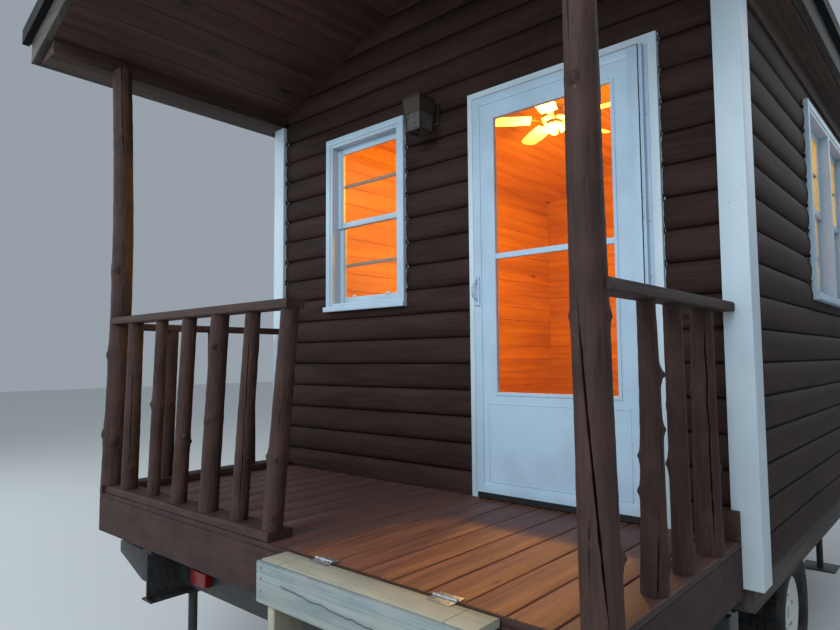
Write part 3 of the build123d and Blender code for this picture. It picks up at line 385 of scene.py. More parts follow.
def bare_pine(name, along, dark=(148, 141, 122), light=(182, 175, 154), crack=None):
    """Weathered pine; crack is the left end and height of a crack that falls to the right, and its length."""
    finish = Finish(name, Specular_IOR_Level=0.25)
    colour, height = wood(finish, along, dark, light, knots=3.2, knot_colour=(110, 88, 64), contrast=0.9)
    grey = finish.rise(finish.noise((5, 9, 9), 4.0), 0.42, 0.66)
    # painted shade: the splits are darkened where the bump cuts them in
    split = finish.rise(finish.noise(by_axis(along, 1.4, 50), 2.0), 0.70, 0.73)
    colour = finish.layered(colour, (grey * 0.5, (150, 150, 142)), (split * 0.8, (58, 46, 36)))
    if crack:
        start, level, length = crack
        wander = finish.noise((16, 1, 1)) * 0.022
        away = (finish.z - level + (finish.x - start) * 0.05 - wander + 0.011).absolute()
        within = finish.rise(finish.x, start, start + 0.02)
        within = within * finish.fall(finish.x, start + length - 0.06, start + length)
        # painted shade along the crack's line
        line = finish.fall(away, 0.0007, 0.0017) * within
        stain = finish.rise(away, 0.001, 0.016, 0.35, 0.0) * within
        colour = finish.layered(colour, (stain, (86, 98, 104)), (line, (38, 40, 42)))
        split = split + line
    return finish.done(colour, 0.72 + height * 0.15, height - split * 1.4, 0.0014, 0.9)


def fascia_wood(name, along, dark=(48, 42, 40), light=(84, 75, 70)):
    finish = Finish(name, Specular_IOR_Level=0.3)
    colour, height = wood(finish, along, dark, light, contrast=1.2)
    return finish.done(colour, 0.62 + height * 0.2, height, 0.0014, 0.9)


def ceiling_wood():
    """Stained boards over the porch and under the eaves, and honey-coloured ones over the room."""
    finish = Finish("ceiling_wood", Specular_IOR_Level=0.3)
    boards = {"pitch": 0.14, "across": finish.x, "level": 0.2}
    stained, height = wood(
        finish, "y", (46, 31, 28), (82, 56, 47), knots=4.6, knot_colour=(16, 10, 9), **boards,
    )
    honey, relief = wood(
        finish, "y", (168, 96, 36), (208, 136, 60), knots=3.4, knot_colour=(112, 58, 24), **boards,
    )
    indoors = finish.rise(finish.y, wall_front + 0.02, wall_front + 0.06)
    indoors = indoors * finish.fall(finish.y, wall_back - 0.06, wall_back - 0.02)
    colour = finish.mix(indoors, stained, honey)
    return finish.done(colour, 0.5 + height * 0.2, height + relief * 0.2, 0.001, 0.8)


def honey_pine(name, along):
    """Clear-coated pine boards inside the room."""
    finish = Finish(name, Specular_IOR_Level=0.4)
    colour, height = wood(
        finish, along, (160, 94, 22), (198, 132, 40), pitch=LINING_PITCH, across=finish.z, knots=4.0,
        knot_colour=(88, 42, 16),
    )
    return finish.done(colour, 0.36 + height * 0.15, height, 0.0008, 0.6)


def roof_felt():
    """Mineral grit on dark felt."""
    finish = Finish("roof_felt", Specular_IOR_Level=0.15)
    grit = finish.noise(900, 2.0)
    patches = finish.noise(5)
    colour = finish.blend(
        finish.rise(grit, 0.3, 0.7), (22, 22, 24), (62, 62, 64), (patches * 0.3, (40, 38, 38)),
    )
    return finish.done(colour, 0.85 + grit * 0.1, grit, 0.001, 0.9)


def chassis_paint():
    """Black paint with patches of rust."""
    finish = Finish("chassis_paint", Specular_IOR_Level=0.4)
    coat = finish.noise(40)
    rust = finish.rise(finish.noise(11, 5.0, 0.7), 0.60, 0.68)
    colour = finish.blend(finish.rise(coat, 0.3, 0.7), (24, 24, 25), (44, 44, 45), (rust * 0.7, (94, 52, 32)))
    return finish.done(colour, 0.45 + rust * 0.4, coat + rust * 0.6, 0.0008, 0.7)


def tyre_rubber():
    finish = Finish("tyre_rubber", Specular_IOR_Level=0.3)
    dust = finish.noise(14, 4.0)
    colour = finish.blend(finish.rise(dust, 0.4, 0.75), (26, 26, 27), (62, 58, 54))
    return finish.done(colour, 0.72 + dust * 0.2, finish.noise(300), 0.0004, 0.5)


def clear_glass():
    finish = Finish("clear_glass", Roughness=0.03, Alpha=0.08, Specular_IOR_Level=0.3)
    return finish.done(finish.blend(finish.noise(9, 4.0) * 0.5, (56, 58, 56), (110, 100, 84)))


def galvanised():
    """Zinc with its crystals, and grey stains."""
    finish = Finish("galvanised", Metallic=1.0)
    stain = finish.noise(40, 4.0)
    colour = finish.blend(
        finish.rise(finish.cells(140), 0.2, 0.8), (176, 178, 178), (204, 206, 206),
        (finish.rise(stain, 0.6, 0.75, 0.0, 0.4), (120, 112, 100)),
    )
    return finish.done(colour, 0.38 + stain * 0.2, stain, 0.0004, 0.5)


def metal(name, dark, light, roughness):
    finish = Finish(name, Metallic=0.9)
    stain = finish.noise(60, 4.0)
    colour = finish.blend(finish.rise(stain, 0.35, 0.65), dark, light)
    return finish.done(colour, roughness + stain * 0.2, stain, 0.0003, 0.4)


def seeded_glass():
    """Rippled lantern glass with dust on it. Its dark grey tone is painted shade."""
    finish = Finish("seeded_glass", Alpha=0.62, Specular_IOR_Level=0.6)
    dust = finish.noise((30, 30, 18), 4.0)
    # painted shade: both tones are dark grey, for the shaded lantern
    colour = finish.blend(finish.rise(dust, 0.35, 0.7), (70, 70, 67), (108, 106, 99))
    return finish.done(colour, 0.14 + dust * 0.2, finish.cells((120, 120, 70)), 0.0012, 0.8)


def glowing(name, tint, strength):
    """Milky glass that shines."""
    finish = Finish(name, Emission_Color=srgb(*tint), Emission_Strength=strength, Roughness=0.3)
    return finish.done(finish.blend(finish.noise(30, 2.0) * 0.3, tint, (255, 240, 214)))


RIM_TONES = ((48, 33, 30), (66, 46, 41))
RISER_TONES = ((104, 116, 119), (146, 155, 154))
RISER_CRACK = (riser_low.x + 0.13, deck - 0.062, 0.5)
FINISHES = {
    "log_siding": log_stain(),
    "peeled_log": rail_stain("pole_stain", "z"),
    "rail_x": rail_stain("rail_stain_across", "x"),
    "rail_y": rail_stain("rail_stain_along", "y"),
    "rim_x": rail_stain("rim_stain_across", "x", *RIM_TONES),
    "rim_y": rail_stain("rim_stain_along", "y", *RIM_TONES),
    "deck_stain": deck_stain(),
    "white_trim": white_paint(),
    "bare_pine": bare_pine("step_pine", "x"),
    "bare_pine_z": bare_pine("step_pine_sides", "z"),
    "riser_pine": bare_pine("riser_pine", "x", *RISER_TONES, RISER_CRACK),
    "weathered_board": fascia_wood("fascia_wood", "y"),
    "fascia_x": fascia_wood("fascia_wood_across", "x"),
    "beam_wood": fascia_wood("beam_wood", "y", (50, 36, 31), (80, 60, 52)),
    "ceiling_board": ceiling_wood(),
    "floor_wood": honey_pine("floor_pine", "y"),
    "lining_x": honey_pine("lining_pine_across", "x"),
    "lining_y": honey_pine("lining_pine_along", "y"),
    "roofing": roof_felt(),
    "chassis_steel": chassis_paint(),
    "tyre": tyre_rubber(),
    "window_glass": clear_glass(),
    "seeded_glass": seeded_glass(),
    "lamp_glow": glowing("lamp_glow", (255, 196, 96), 6.0),
    "galvanised": galvanised(),
    "drip_metal": enamel("drip_metal", (26, 26, 27), 0.6, 0.08),
    # painted shade, for the dark strips round the storm door's leaf
    "gap_shade_paint": enamel("gap_shade_paint", (34, 33, 34), 0.6, 0.2),
    "wheel_steel": enamel("wheel_enamel", (214, 214, 210), 0.35),
    # painted light: the door's white enamel is tinted blue for the dusk sky
    "white_door": enamel("door_enamel", (176, 199, 217), 0.36),
    # painted shade: the bars are grey-brown, as bars seen dark against the room's light
    "window_bar": enamel("window_bar", (150, 138, 126), 0.5, 0.3),
    # painted light: the window's white vinyl is tinted blue for the dusk sky
    "window_frame": enamel("window_vinyl", (178, 199, 214), 0.38),
    "dark_bronze": enamel("lantern_bronze", (58, 46, 38), 0.4),
    "fan_white": enamel("fan_enamel", (226, 222, 210), 0.35),
    "red_lens": enamel("tail_lens", (118, 12, 11), 0.15),
    "milk_glass": enamel("milk_glass", (236, 232, 220), 0.2),
    "threshold_metal": metal("threshold_metal", (52, 48, 46), (84, 80, 76), 0.5),
    "lamp_brass": metal("lamp_brass", (120, 86, 40), (176, 134, 70), 0.35),
    "nail_heads": metal("nail_heads", (58, 50, 46), (110, 96, 84), 0.5),
    "steel_screw": metal("steel_screw", (150, 152, 154), (190, 192, 194), 0.32),
    "dull_aluminium": metal("dull_aluminium", (168, 172, 176), (200, 204, 208), 0.42),
}

for entry in frame["record"]["subparts"]:
    node = frame["nodes"][entry["node"]]
    node.data.materials.clear()
    node.data.materials.append(FINISHES[entry["material_slot"]])


# Shapes
class Shape:
    """Collects the faces of one piece, then makes it an object that rides on its body."""

    def __init__(self):
        self.mesh = bmesh.new()
        self.mark = self.mesh.verts.layers.float.new("mark")

    def loft(self, rings, marks=None):
        """Skins rings of points, all with the same count, and caps both ends."""
        rows = []
        for r, ring in enumerate(rings):
            row = [self.mesh.verts.new(point) for point in ring]
            if marks:
                for vert, mark in zip(row, marks[r]):
                    vert[self.mark] = mark
            rows.append(row)
        for low, high in zip(rows, rows[1:]):
            self.band(low, high)
        self.mesh.faces.new(rows[0][::-1])
        self.mesh.faces.new(rows[-1])

    def band(self, low, high):
        """Joins two closed rows of vertices with faces."""
        for i in range(len(low)):
            j = (i + 1) % len(low)
            self.mesh.faces.new((low[i], low[j], high[j], high[i]))

    def hoop(self, sections):
        """Skins closed sections that stand round a closed hoop."""
        rows = [[self.mesh.verts.new(point) for point in section] for section in sections]
        for one, other in zip(rows, rows[1:] + rows[:1]):
            self.band(one, other)

    def extruded(self, outline, start, end):
        """An outline of x and z, drawn out along y."""
        self.loft([[(x, y, z) for x, z in outline] for y in (start, end)])

    def block(self, low, high, edge=0.0, segments=1):
        """A rectangular piece between two corners, its edges eased."""
        made = bmesh.ops.create_cube(self.mesh, size=1)["verts"]
        middle = (Vector(low) + Vector(high)) / 2
        size = Vector(high) - Vector(low)
        for vert in made:
            vert.co = middle + Vector(a * b for a, b in zip(vert.co, size))
        if edge:
            edges = list(dict.fromkeys(e for vert in made for e in vert.link_edges))
            bmesh.ops.bevel(
                self.mesh, geom=edges, offset=edge, segments=segments, profile=0.6, affect="EDGES",
            )

    def turned(self, centre, axis, stations, sides=32):
        """A round piece along an axis, from distances and the radius at each."""
        axis = Vector(axis).normalized()
        side = axis.orthogonal().normalized()
        other = axis.cross(side)
        rings = []
        for distance, radius in stations:
            spot = Vector(centre) + axis * distance
            turn = [math.tau * i / sides for i in range(sides)]
            rings.append([spot + radius * (math.cos(t) * side + math.sin(t) * other) for t in turn])
        self.loft(rings)

    def bent_bar(self, points, radius, sides=12):
        """A round bar through points."""
        points = [Vector(point) for point in points]
        rings = []
        for i, point in enumerate(points):
            ahead = points[min(i + 1, len(points) - 1)] - points[max(i - 1, 0)]
            ahead.normalize()
            side = Vector((0, 0, 1)).cross(ahead)
            side = side.normalized() if side.length > 0.05 else Vector((1, 0, 0))
            up = ahead.cross(side)
            turn = [math.tau * k / sides for k in range(sides)]
            rings.append([point + radius * (math.cos(t) * side + math.sin(t) * up) for t in turn])
        self.loft(rings)

    def weld(self, distance):
        bmesh.ops.remove_doubles(self.mesh, verts=self.mesh.verts, dist=distance)

    def object(self, name, finish, body, slot, replaces=(), smooth=35):
        """Finishes the mesh. Edges sharper than smooth, in degrees, stay crisp."""
        bmesh.ops.recalc_face_normals(self.mesh, faces=self.mesh.faces)
        data = bpy.data.meshes.new(name)
        self.mesh.to_mesh(data)
        self.mesh.free()
        data.shade_smooth()
        data.set_sharp_from_angle(angle=math.radians(smooth))
        data.materials.append(FINISHES[finish])
        piece = bpy.data.objects.new(name, data)
        bpy.context.scene.collection.objects.link(piece)
        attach(piece, body)
        if replaces:
            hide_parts(*replaces)


def eased(node, name, finish, body, slot, edge=0.003, segments=2):
    """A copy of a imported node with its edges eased."""
    shape = Shape()
    shape.mesh.from_mesh(frame["nodes"][node].data)
    shape.weld(0.0001)
    bmesh.ops.dissolve_limit(
        shape.mesh, angle_limit=math.radians(1), verts=shape.mesh.verts, edges=shape.mesh.edges,
    )
    crisp = [e for e in shape.mesh.edges if len(e.link_faces) == 2 and e.calc_face_angle() > math.radians(25)]
    bmesh.ops.bevel(
        shape.mesh, geom=crisp, offset=edge, segments=segments, profile=0.6, affect="EDGES",
        clamp_overlap=True,
    )
    shape.object(name, finish, body, slot, (node,))


def waver_at(*place):
    """A smooth random number from -1 to 1 for a place."""
    return noise.noise(Vector((*place, 0, 0)[:3]))


# Log walls
FRONT_COURSES = 16              # under the front gable
SIDE_COURSES = 17
LOG_BULGE = 0.024
LOG_STEPS = 12                  # points up the face of a log
LOG_SPACING = 0.09              # between the sections along a log
LONGEST_LOG = 2.4               # a longer one is two logs with a butt joint
JOINT_GAP = 0.0016
NO_CEILING = 99                 # above everything
CREST_SETBACK = 0.0012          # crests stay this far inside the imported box
WALL_THICKNESS = 0.098
LOG_BACK = 0.062                # back of the logs from the crests
LINING_THICKNESS = 0.018
LINING_GROOVE = 0.005
ROOF_SLOPE = 4.5 / 12
JAMB_BOARD = 0.02
CASING = 0.038
SILL_EAR = 0.009                # the sill's reach past the casing
SILL_DEPTH = 0.03
soffit_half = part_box("eave_fascias")[1].x
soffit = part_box("porch_beams")[0].z
ridge_under = soffit + soffit_half * ROOF_SLOPE
side_start = wall_front + WALL_THICKNESS
side_end = wall_back - WALL_THICKNESS
half_inside = half_cabin - WALL_THICKNESS
door_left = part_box("door_threshold")[0].x
door_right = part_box("door_threshold")[1].x
door_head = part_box("front_gable")[0].z
frieze_bottom = siding_bottom + SIDE_COURSES * COURSE


def roof_under(x):
    return ridge_under - abs(x) * ROOF_SLOPE


def hole_of(node, axis):
    """The wall's hole for a window: its range along the wall and its heights."""
    low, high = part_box(node)
    inset = SILL_EAR + CASING
    return low[axis] + inset, high[axis] - inset, low.z + SILL_DEPTH, high.z - CASING


def log_profile(share):
    """How far a log's face stands behind its crest, from the bottom of the course (0) to the top (1)."""
    away = abs(2 * share - 1)
    return LOG_BULGE * (1 - math.sqrt(max(0.0, 1 - away ** 2.05)))


def free_runs(start, end, low, high, holes):
    """The stretches of a course beside its holes, each with the heights that are left."""
    cuts = sorted({start, end, *(c for hole in holes for c in hole[:2] if start < c < end)})
    runs = []
    for a, b in zip(cuts, cuts[1:]):
        middle = (a + b) / 2
        bands = [(low, high)]
        for h_start, h_end, h_low, h_high in holes:
            if h_start < middle < h_end:
                bands = [
                    piece
                    for band_low, band_high in bands
                    for piece in ((band_low, min(band_high, h_low)), (max(band_low, h_high), band_high))
                    if piece[1] - piece[0] > 0.0005
                ]
        for band in bands:
            before = next((k for k, run in enumerate(runs) if run[1] == a and run[2:] == band), None)
            if before is None:
                runs.append((a, b, *band))
            else:
                runs[before] = (runs[before][0], b, *band)
    return runs


def log_wall(name, node, at, start, end, courses, holes=(), ceiling=None, first=0):
    """Courses of rounded log siding. at(run, out, z) gives a place on the wall; out is 0 at the crests."""
    shape = Shape()
    for i in range(first, courses):
        base = siding_bottom + i * COURSE
        seed = i * 7.3 + len(node)
        joint = start + (end - start) * (0.55 + 0.35 * (waver_at(seed, 3.1) * 0.5 + 0.5))
        for a, b, low, high in free_runs(start, end, base, base + COURSE, holes):
            pieces = [(a, b)]
            if b - a > LONGEST_LOG and a < joint < b:
                pieces = [(a, joint - JOINT_GAP / 2), (joint + JOINT_GAP / 2, b)]
            for c, d in pieces:
                count = max(2, round((d - c) / LOG_SPACING))
                rings = []
                for k in range(count + 1):
                    run = c + (d - c) * k / count
                    limit = ceiling(run) if ceiling else NO_CEILING
                    lift = 0.0012 * waver_at(run * 1.7, seed)
                    front = []
                    for j in range(LOG_STEPS + 1):
                        level = min(low + (high - low) * j / LOG_STEPS, limit)
                        depth = log_profile(min(1, max(0, (level - base - lift) / COURSE)))
                        depth += CREST_SETBACK * (1 + 0.8 * waver_at(run * 2.3, seed, level * 9))
                        front.append(Vector(at(run, -depth, level)))
                    front.append(Vector(at(run, -LOG_BACK, min(high, limit))))
                    front.append(Vector(at(run, -LOG_BACK, min(low, limit))))
                    rings.append(front)
                if max((p - rings[0][0]).length for ring in rings for p in ring) < 0.01:
                    continue
                if all(ring[0].z > ring[-2].z - 0.0005 for ring in rings):
                    continue
                shape.loft(rings)
    shape.weld(0.00002)
    shape.object(name, "log_siding", "cabin", "log_siding", (node,), smooth=50)


def lining(name, finish, at, start, end, low, high, holes=(), ceiling=None):
    """Horizontal tongue-and-groove boards; at(run, depth, z) has depth 0 on the room's side."""
    shape = Shape()
    rows = math.ceil((high - low) / LINING_PITCH)
    for i in range(rows):
        base = low + i * LINING_PITCH
        for a, b, z0, z1 in free_runs(start, end, base, min(base + LINING_PITCH, high), holes):
            count = max(1, round((b - a) / 0.5))
            rings = []
            for k in range(count + 1):
                run = a + (b - a) * k / count
                limit = ceiling(run) if ceiling else NO_CEILING
                heights = (z0, z0 + LINING_GROOVE, z1 - LINING_GROOVE, z1)
                depths = (LINING_GROOVE, 0.0, 0.0, LINING_GROOVE)
                ring = [Vector(at(run, d, min(z, limit))) for z, d in zip(heights, depths)]
                ring.append(Vector(at(run, LINING_THICKNESS, min(z1, limit))))
                ring.append(Vector(at(run, LINING_THICKNESS, min(z0, limit))))
                rings.append(ring)
            if all(ring[0].z > ring[3].z - 0.0005 for ring in rings):
                continue
            shape.loft(rings)
    shape.weld(0.00002)
    shape.object(name, finish, "cabin", "floor_wood", smooth=20)


front_hole = hole_of("front_window", 0)
back_hole = hole_of("back_window", 0)
side_hole = hole_of("left_window", 1)
doorway = (door_left - JAMB_BOARD, door_right + JAMB_BOARD, 0, door_head + JAMB_BOARD)
gable_courses = FRONT_COURSES + math.ceil((ridge_under - door_head) / COURSE)


def front_at(run, out, z):
    return run, wall_front - out, z


def back_at(run, out, z):
    return run, wall_back + out, z


def right_at(run, out, z):
    return half_cabin + out, run, z


def left_at(run, out, z):
    return -half_cabin - out, run, z


def wall_plates(side):
    """The smooth band over the side wall's logs, behind the frieze and soffit boards."""
    shape = Shape()
    near, far = sorted((side * half_inside + side * LINING_THICKNESS, side * (half_cabin - LOG_BULGE)))
    shape.block((near, side_start, frieze_bottom), (far, side_end, roof_under(half_cabin)))
    shape.object(f"{SIDES[side]}_wall_plate", "ceiling_board", "cabin", "ceiling_board")


def build_walls():
    corner = half_cabin - 0.0005
    log_wall(
        "front_logs_left", "front_wall_left", front_at, -corner, doorway[0], FRONT_COURSES, (front_hole,),
    )
    log_wall("front_logs_right", "front_wall_right", front_at, doorway[1], corner, FRONT_COURSES)
    log_wall(
        "gable_logs", "front_gable", front_at, -corner, corner, gable_courses, (front_hole, doorway),
        roof_under, first=FRONT_COURSES,
    )
    log_wall("back_logs", "back_wall", back_at, -corner, corner, gable_courses, (back_hole,), roof_under)
    for side, at in ((1, right_at), (-1, left_at)):
        word = SIDES[side]
        log_wall(f"{word}_logs", f"{word}_wall", at, side_start, side_end, SIDE_COURSES, (side_hole,))
        wall_plates(side)
    floor_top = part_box("cabin_floor")[1].z
    gable = (-half_inside, half_inside, floor_top, ridge_under)
    for name, at, holes in (
        ("front_lining", lambda run, d, z: (run, side_start - d, z), (front_hole, doorway)),
        ("back_lining", lambda run, d, z: (run, side_end + d, z), (back_hole,)),
    ):
        lining(name, "lining_x", at, *gable, holes, roof_under)
    for side, word in SIDES.items():
        lining(
            f"{word}_lining", "lining_y", lambda run, d, z: (side * (half_inside + d), run, z),
            side_start, side_end, floor_top, roof_under(half_inside), (side_hole,),
        )


def build_door_jambs():
    """Boards that line the doorway through the wall."""
    shape = Shape()
    top = doorway[3]
    for x0, x1 in ((doorway[0], door_left), (door_right, doorway[1])):
        shape.block((x0, wall_front, deck), (x1, side_start, top), 0.001)
    shape.block((door_left, wall_front, door_head), (door_right, side_start, top), 0.001)
    shape.object("door_jambs", "white_trim", "cabin", "white_trim")


build_walls()
build_door_jambs()


# Porch: peeled logs, rails, planks and deck
newel_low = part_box("newel_post")[0]
rails_low, rails_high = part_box("top_rails")
planks_low, planks_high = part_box("sill_planks")
sill_top = planks_low.z + 0.038
frame_low, frame_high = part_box("porch_frame")
RAIL_DEPTH = 0.038
RAIL_WIDTH = 0.089
DECK_EDGE = 0.012               # a strip that covers the front ends of the deck boards
RIM_BOARD = 0.038
LAP_DROP = 0.085                # from the ceiling down to the head of a post, beside the beam
HAIR = 0.0001
PLANK_WIDTH = 0.12
front_rail_under = rails_high.z - RAIL_DEPTH
side_rail_under = rails_low.z
half_deck = deck_high.x
newel_foot = newel_low.x + 0.043
sapling_y = deck_front + 0.05
beam_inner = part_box("porch_beams")[1].x - 0.177
plank_end = planks_low.x + 0.06
chassis_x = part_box("chassis_rails")[1].x - 0.05  # the middle of a chassis rail


def peeled_log(shape, foot, head, radii, knots=(), bow=(0, 0), crack=None, sides=72, step=0.008, fit=None):
    """
    A peeled log. A knot is its share of the length, the way it faces in degrees, its reach and its height.
    A crack is its ends as shares, the way it faces at each, and its width and depth. fit moves the points.
    """
    foot, head = Vector(foot), Vector(head)
    length = head.z - foot.z
    levels = [k * length / round(length / step) for k in range(round(length / step) + 1)]
    extra = fit.levels if fit else ()
    levels = sorted(levels + [z - foot.z for z in extra])
    rings, marks = [], []
    for level in levels:
        share = level / length
        middle = foot.lerp(head, share)
        middle.x += bow[0] * math.sin(math.pi * share)
        middle.y += bow[1] * math.sin(math.pi * share)
        base = radii[0] + (radii[1] - radii[0]) * share - 0.0015
        crack_turn = 0.0
        if crack:
            c_start, c_end, turn_start, turn_end, c_width, c_depth = crack
            within = (share - c_start) / (c_end - c_start)
            held = min(1, max(0, within))
            crack_turn = math.radians(turn_start + (turn_end - turn_start) * held)
            crack_turn += 0.10 * waver_at(share * 9, foot.x * 5)
            fade = max(0.0, min(1.0, within * 6, (1 - within) * 6))
        ring, mark = [], []
        for k in range(sides):
            even = math.tau * k / sides
            turn = crack_turn + (even - 0.93 * math.sin(even) if crack else even)
            way = Vector((math.cos(turn), math.sin(turn), 0))
            radius = base * (1 + 0.035 * waver_at(way.x * 1.3 + foot.x * 7, way.y * 1.3, level * 3.1))
            radius += 0.0012 * waver_at(way.x * 3 + foot.y * 9, way.y * 3 + foot.x * 5, level * 26)
            dark = 0.0
            for place, facing, reach, height in knots:
                apart = math.radians(facing) - turn
                apart = abs((apart + math.pi) % math.tau - math.pi) * base
                gap = math.hypot(apart, (share - place) * length)
                ringed = abs(gap / reach - 0.55)
                radius += 1.2 * height * math.exp(-((gap / reach * 1.15) ** 2))
                radius += 0.5 * height * math.exp(-((gap / reach * 3.0) ** 2))
                radius -= 0.45 * height * math.exp(-((ringed * 7) ** 2))
                # the knot's centre is darkened, and its ring groove gets painted shade
                dark = max(
                    dark, 0.6 * math.exp(-((gap / reach * 4.0) ** 2)), 0.55 * math.exp(-((ringed * 8) ** 2)),
                )
            if crack:
                offset = abs((turn - crack_turn + math.pi) % math.tau - math.pi) * base
                wide = c_width * (0.55 + 0.45 * waver_at(level * 22, 4.1)) * fade + 0.0001
                radius -= c_depth * fade * max(0.0, 1 - offset / wide)
                # painted shade inside the crack
                dark = max(dark, fade * math.exp(-((offset / wide) ** 2) * 1.4))
            point = Vector((middle.x, middle.y, foot.z + level)) + way * radius
            ring.append(fit(point, level + foot.z) if fit else point)
            mark.append(dark)
        rings.append(ring)
        marks.append(mark)
    shape.loft(rings, marks=marks)


class PostFit:
    """Notches a post round the beam over it and, on the left, over the end of the sill plank."""

    def __init__(self, side):
        self.side = side
        self.levels = [soffit - HAIR, soffit + HAIR]
        if side < 0:
            self.levels += [sill_top - HAIR, sill_top + HAIR]

    def __call__(self, point, level):
        if level > soffit:
            if self.side * point.x > beam_inner:
                point.x = self.side * beam_inner
            point.z = min(point.z, roof_under(point.x) - LAP_DROP)
        if self.side < 0 and level < sill_top:
            point.x = min(point.x, plank_end - 0.0005)
        point.z = min(point.z, roof_under(point.x) - 0.0002)
        return point


# Each post: middle of its foot inside the deck's side and front edges, lean, radii, bow, knots and crack
POSTS = {
    -1: (
        (0.044, 0.042), 0, (0.058, 0.050), (0.022, 0.022),
        (
            (0.092, -30, 0.055, 0.008), (0.228, 20, 0.045, 0.007), (0.408, -60, 0.050, 0.009),
            (0.534, 10, 0.040, 0.006), (0.105, -115, 0.06, 0.007), (0.25, -115, 0.05, 0.006),
            (0.66, -40, 0.022, 0.003),
        ),
        (0.62, 0.93, -20, -34, 0.0035, 0.012),
    ),
    1: (
        (0.030, 0.066), -0.022, (0.056, 0.040), (-0.009, 0),
        (
            (0.065, 41, 0.030, 0.010), (0.275, 10, 0.030, 0.005), (0.275, -150, 0.026, 0.003),
            (0.49, -92, 0.034, 0.009), (0.60, -60, 0.02, 0.003),
        ),
        (0.0, 0.30, -46, -104, 0.0065, 0.018),
    ),
}


def build_posts():
    shape = Shape()
    for side, ((inset_x, inset_y), lean, radii, bow, knots, crack) in POSTS.items():
        x, y = side * (half_deck - inset_x), deck_front + inset_y
        inner = abs(x + lean + bow[0]) - radii[1] - 0.01
        head = (x + lean, y, ridge_under)
        foot = (x, y, deck)
        rise = (roof_under(inner) - deck) / (ridge_under - deck)
        cut = Vector(foot).lerp(Vector(head), rise)
        radius_cut = radii[0] + (radii[1] - radii[0]) * rise
        knots = tuple((place / rise, facing, reach, height) for place, facing, reach, height in knots)
        crack = (crack[0] / rise, min(1, crack[1] / rise), *crack[2:])
        peeled_log(
            shape, foot, cut, (radii[0], radius_cut), knots, bow, crack, sides=104, step=0.011,
            fit=PostFit(side),
        )
    shape.object("peeled_posts", "peeled_log", "cabin", "peeled_log", ("porch_posts",), smooth=50)


# Each front sapling: share of the way to the newel, lean, radii, knots and crack
FRONT_SAPLINGS = (
    (
        0.163, 0.040, (0.044, 0.038), ((0.12, -20, 0.026, 0.006), (0.7, 30, 0.02, 0.003)),
        (0.1, 0.75, -30, -38, 0.003, 0.008),
    ),
    (0.341, 0.059, (0.032, 0.030), ((0.52, 235, 0.026, 0.006), (0.51, 25, 0.022, 0.005)), None),
    (0.510, 0.075, (0.038, 0.034), ((0.36, -15, 0.028, 0.009), (0.33, 50, 0.022, 0.005)), None),
    (0.685, 0.078, (0.044, 0.041), ((0.46, -72, 0.028, 0.007), (0.84, -58, 0.030, 0.009)), None),
    (
        0.847, 0.090, (0.038, 0.033), ((0.3, 5, 0.022, 0.004), (0.72, 8, 0.02, 0.003)),
        (0.02, 0.95, -34, -52, 0.0028, 0.009),
    ),
)

# Each side sapling: side, distance from the wall, lean, radii, bow, knots and crack
SIDE_SAPLINGS = (
    (-1, 0.840, 0.025, (0.037, 0.034), 0, ((0.5, -20, 0.024, 0.005),), None),
    (-1, 0.560, 0.010, (0.040, 0.035), 0.008, ((0.3, -30, 0.028, 0.006),), None),
    (-1, 0.280, -0.008, (0.037, 0.034), 0, ((0.62, 200, 0.024, 0.005),), None),
    (
        1, 0.756, 0, (0.043, 0.029), 0.012,
        (
            (0.1, 20, 0.024, 0.008), (0.34, 215, 0.026, 0.006), (0.46, 215, 0.022, 0.006),
            (0.55, 30, 0.024, 0.006), (0.74, 41, 0.026, 0.013),
        ),
        (0.0, 0.2, -60, -48, 0.004, 0.012),
    ),
    (1, 0.515, -0.022, (0.034, 0.031), 0, ((0.4, 205, 0.028, 0.006), (0.62, 230, 0.02, 0.004)), None),
    (
        1, 0.245, 0, (0.048, 0.040), -0.006,
        ((0.35, 20, 0.026, 0.005), (0.66, 215, 0.026, 0.006)), (0.02, 0.97, -52, -58, 0.0055, 0.02),
    ),
)


def build_saplings():
    shape = Shape()
    span = newel_foot + half_deck
    for share, lean, radii, knots, crack in FRONT_SAPLINGS:
        x = -half_deck + span * share
        peeled_log(
            shape, (x, sapling_y, sill_top), (x + lean, sapling_y, front_rail_under), radii, knots,
            crack=crack,
        )
    shape.object("front_saplings", "peeled_log", "cabin", "peeled_log", ("front_balusters",), smooth=50)
    shape = Shape()
    for side, from_wall, lean, radii, bow, knots, crack in SIDE_SAPLINGS:
        x, y = side * (half_deck - 0.043), wall_front - from_wall
        low = sill_top if side < 0 else deck
        peeled_log(
            shape, (x, y, low), (x, y + lean, side_rail_under), radii, knots, (0, bow), crack, sides=80,
        )
    shape.object("side_saplings", "peeled_log", "cabin", "peeled_log", ("side_balusters",), smooth=50)
    shape = Shape()
    peeled_log(
        shape, (newel_foot, sapling_y, deck), (newel_foot + 0.112, sapling_y, front_rail_under),
        (0.043, 0.037), ((0.36, 235, 0.028, 0.006), (0.35, -50, 0.022, 0.006), (0.1, -40, 0.024, 0.004)),
    )
    shape.object("leaning_newel", "peeled_log", "cabin", "peeled_log", ("newel_post",), smooth=50)


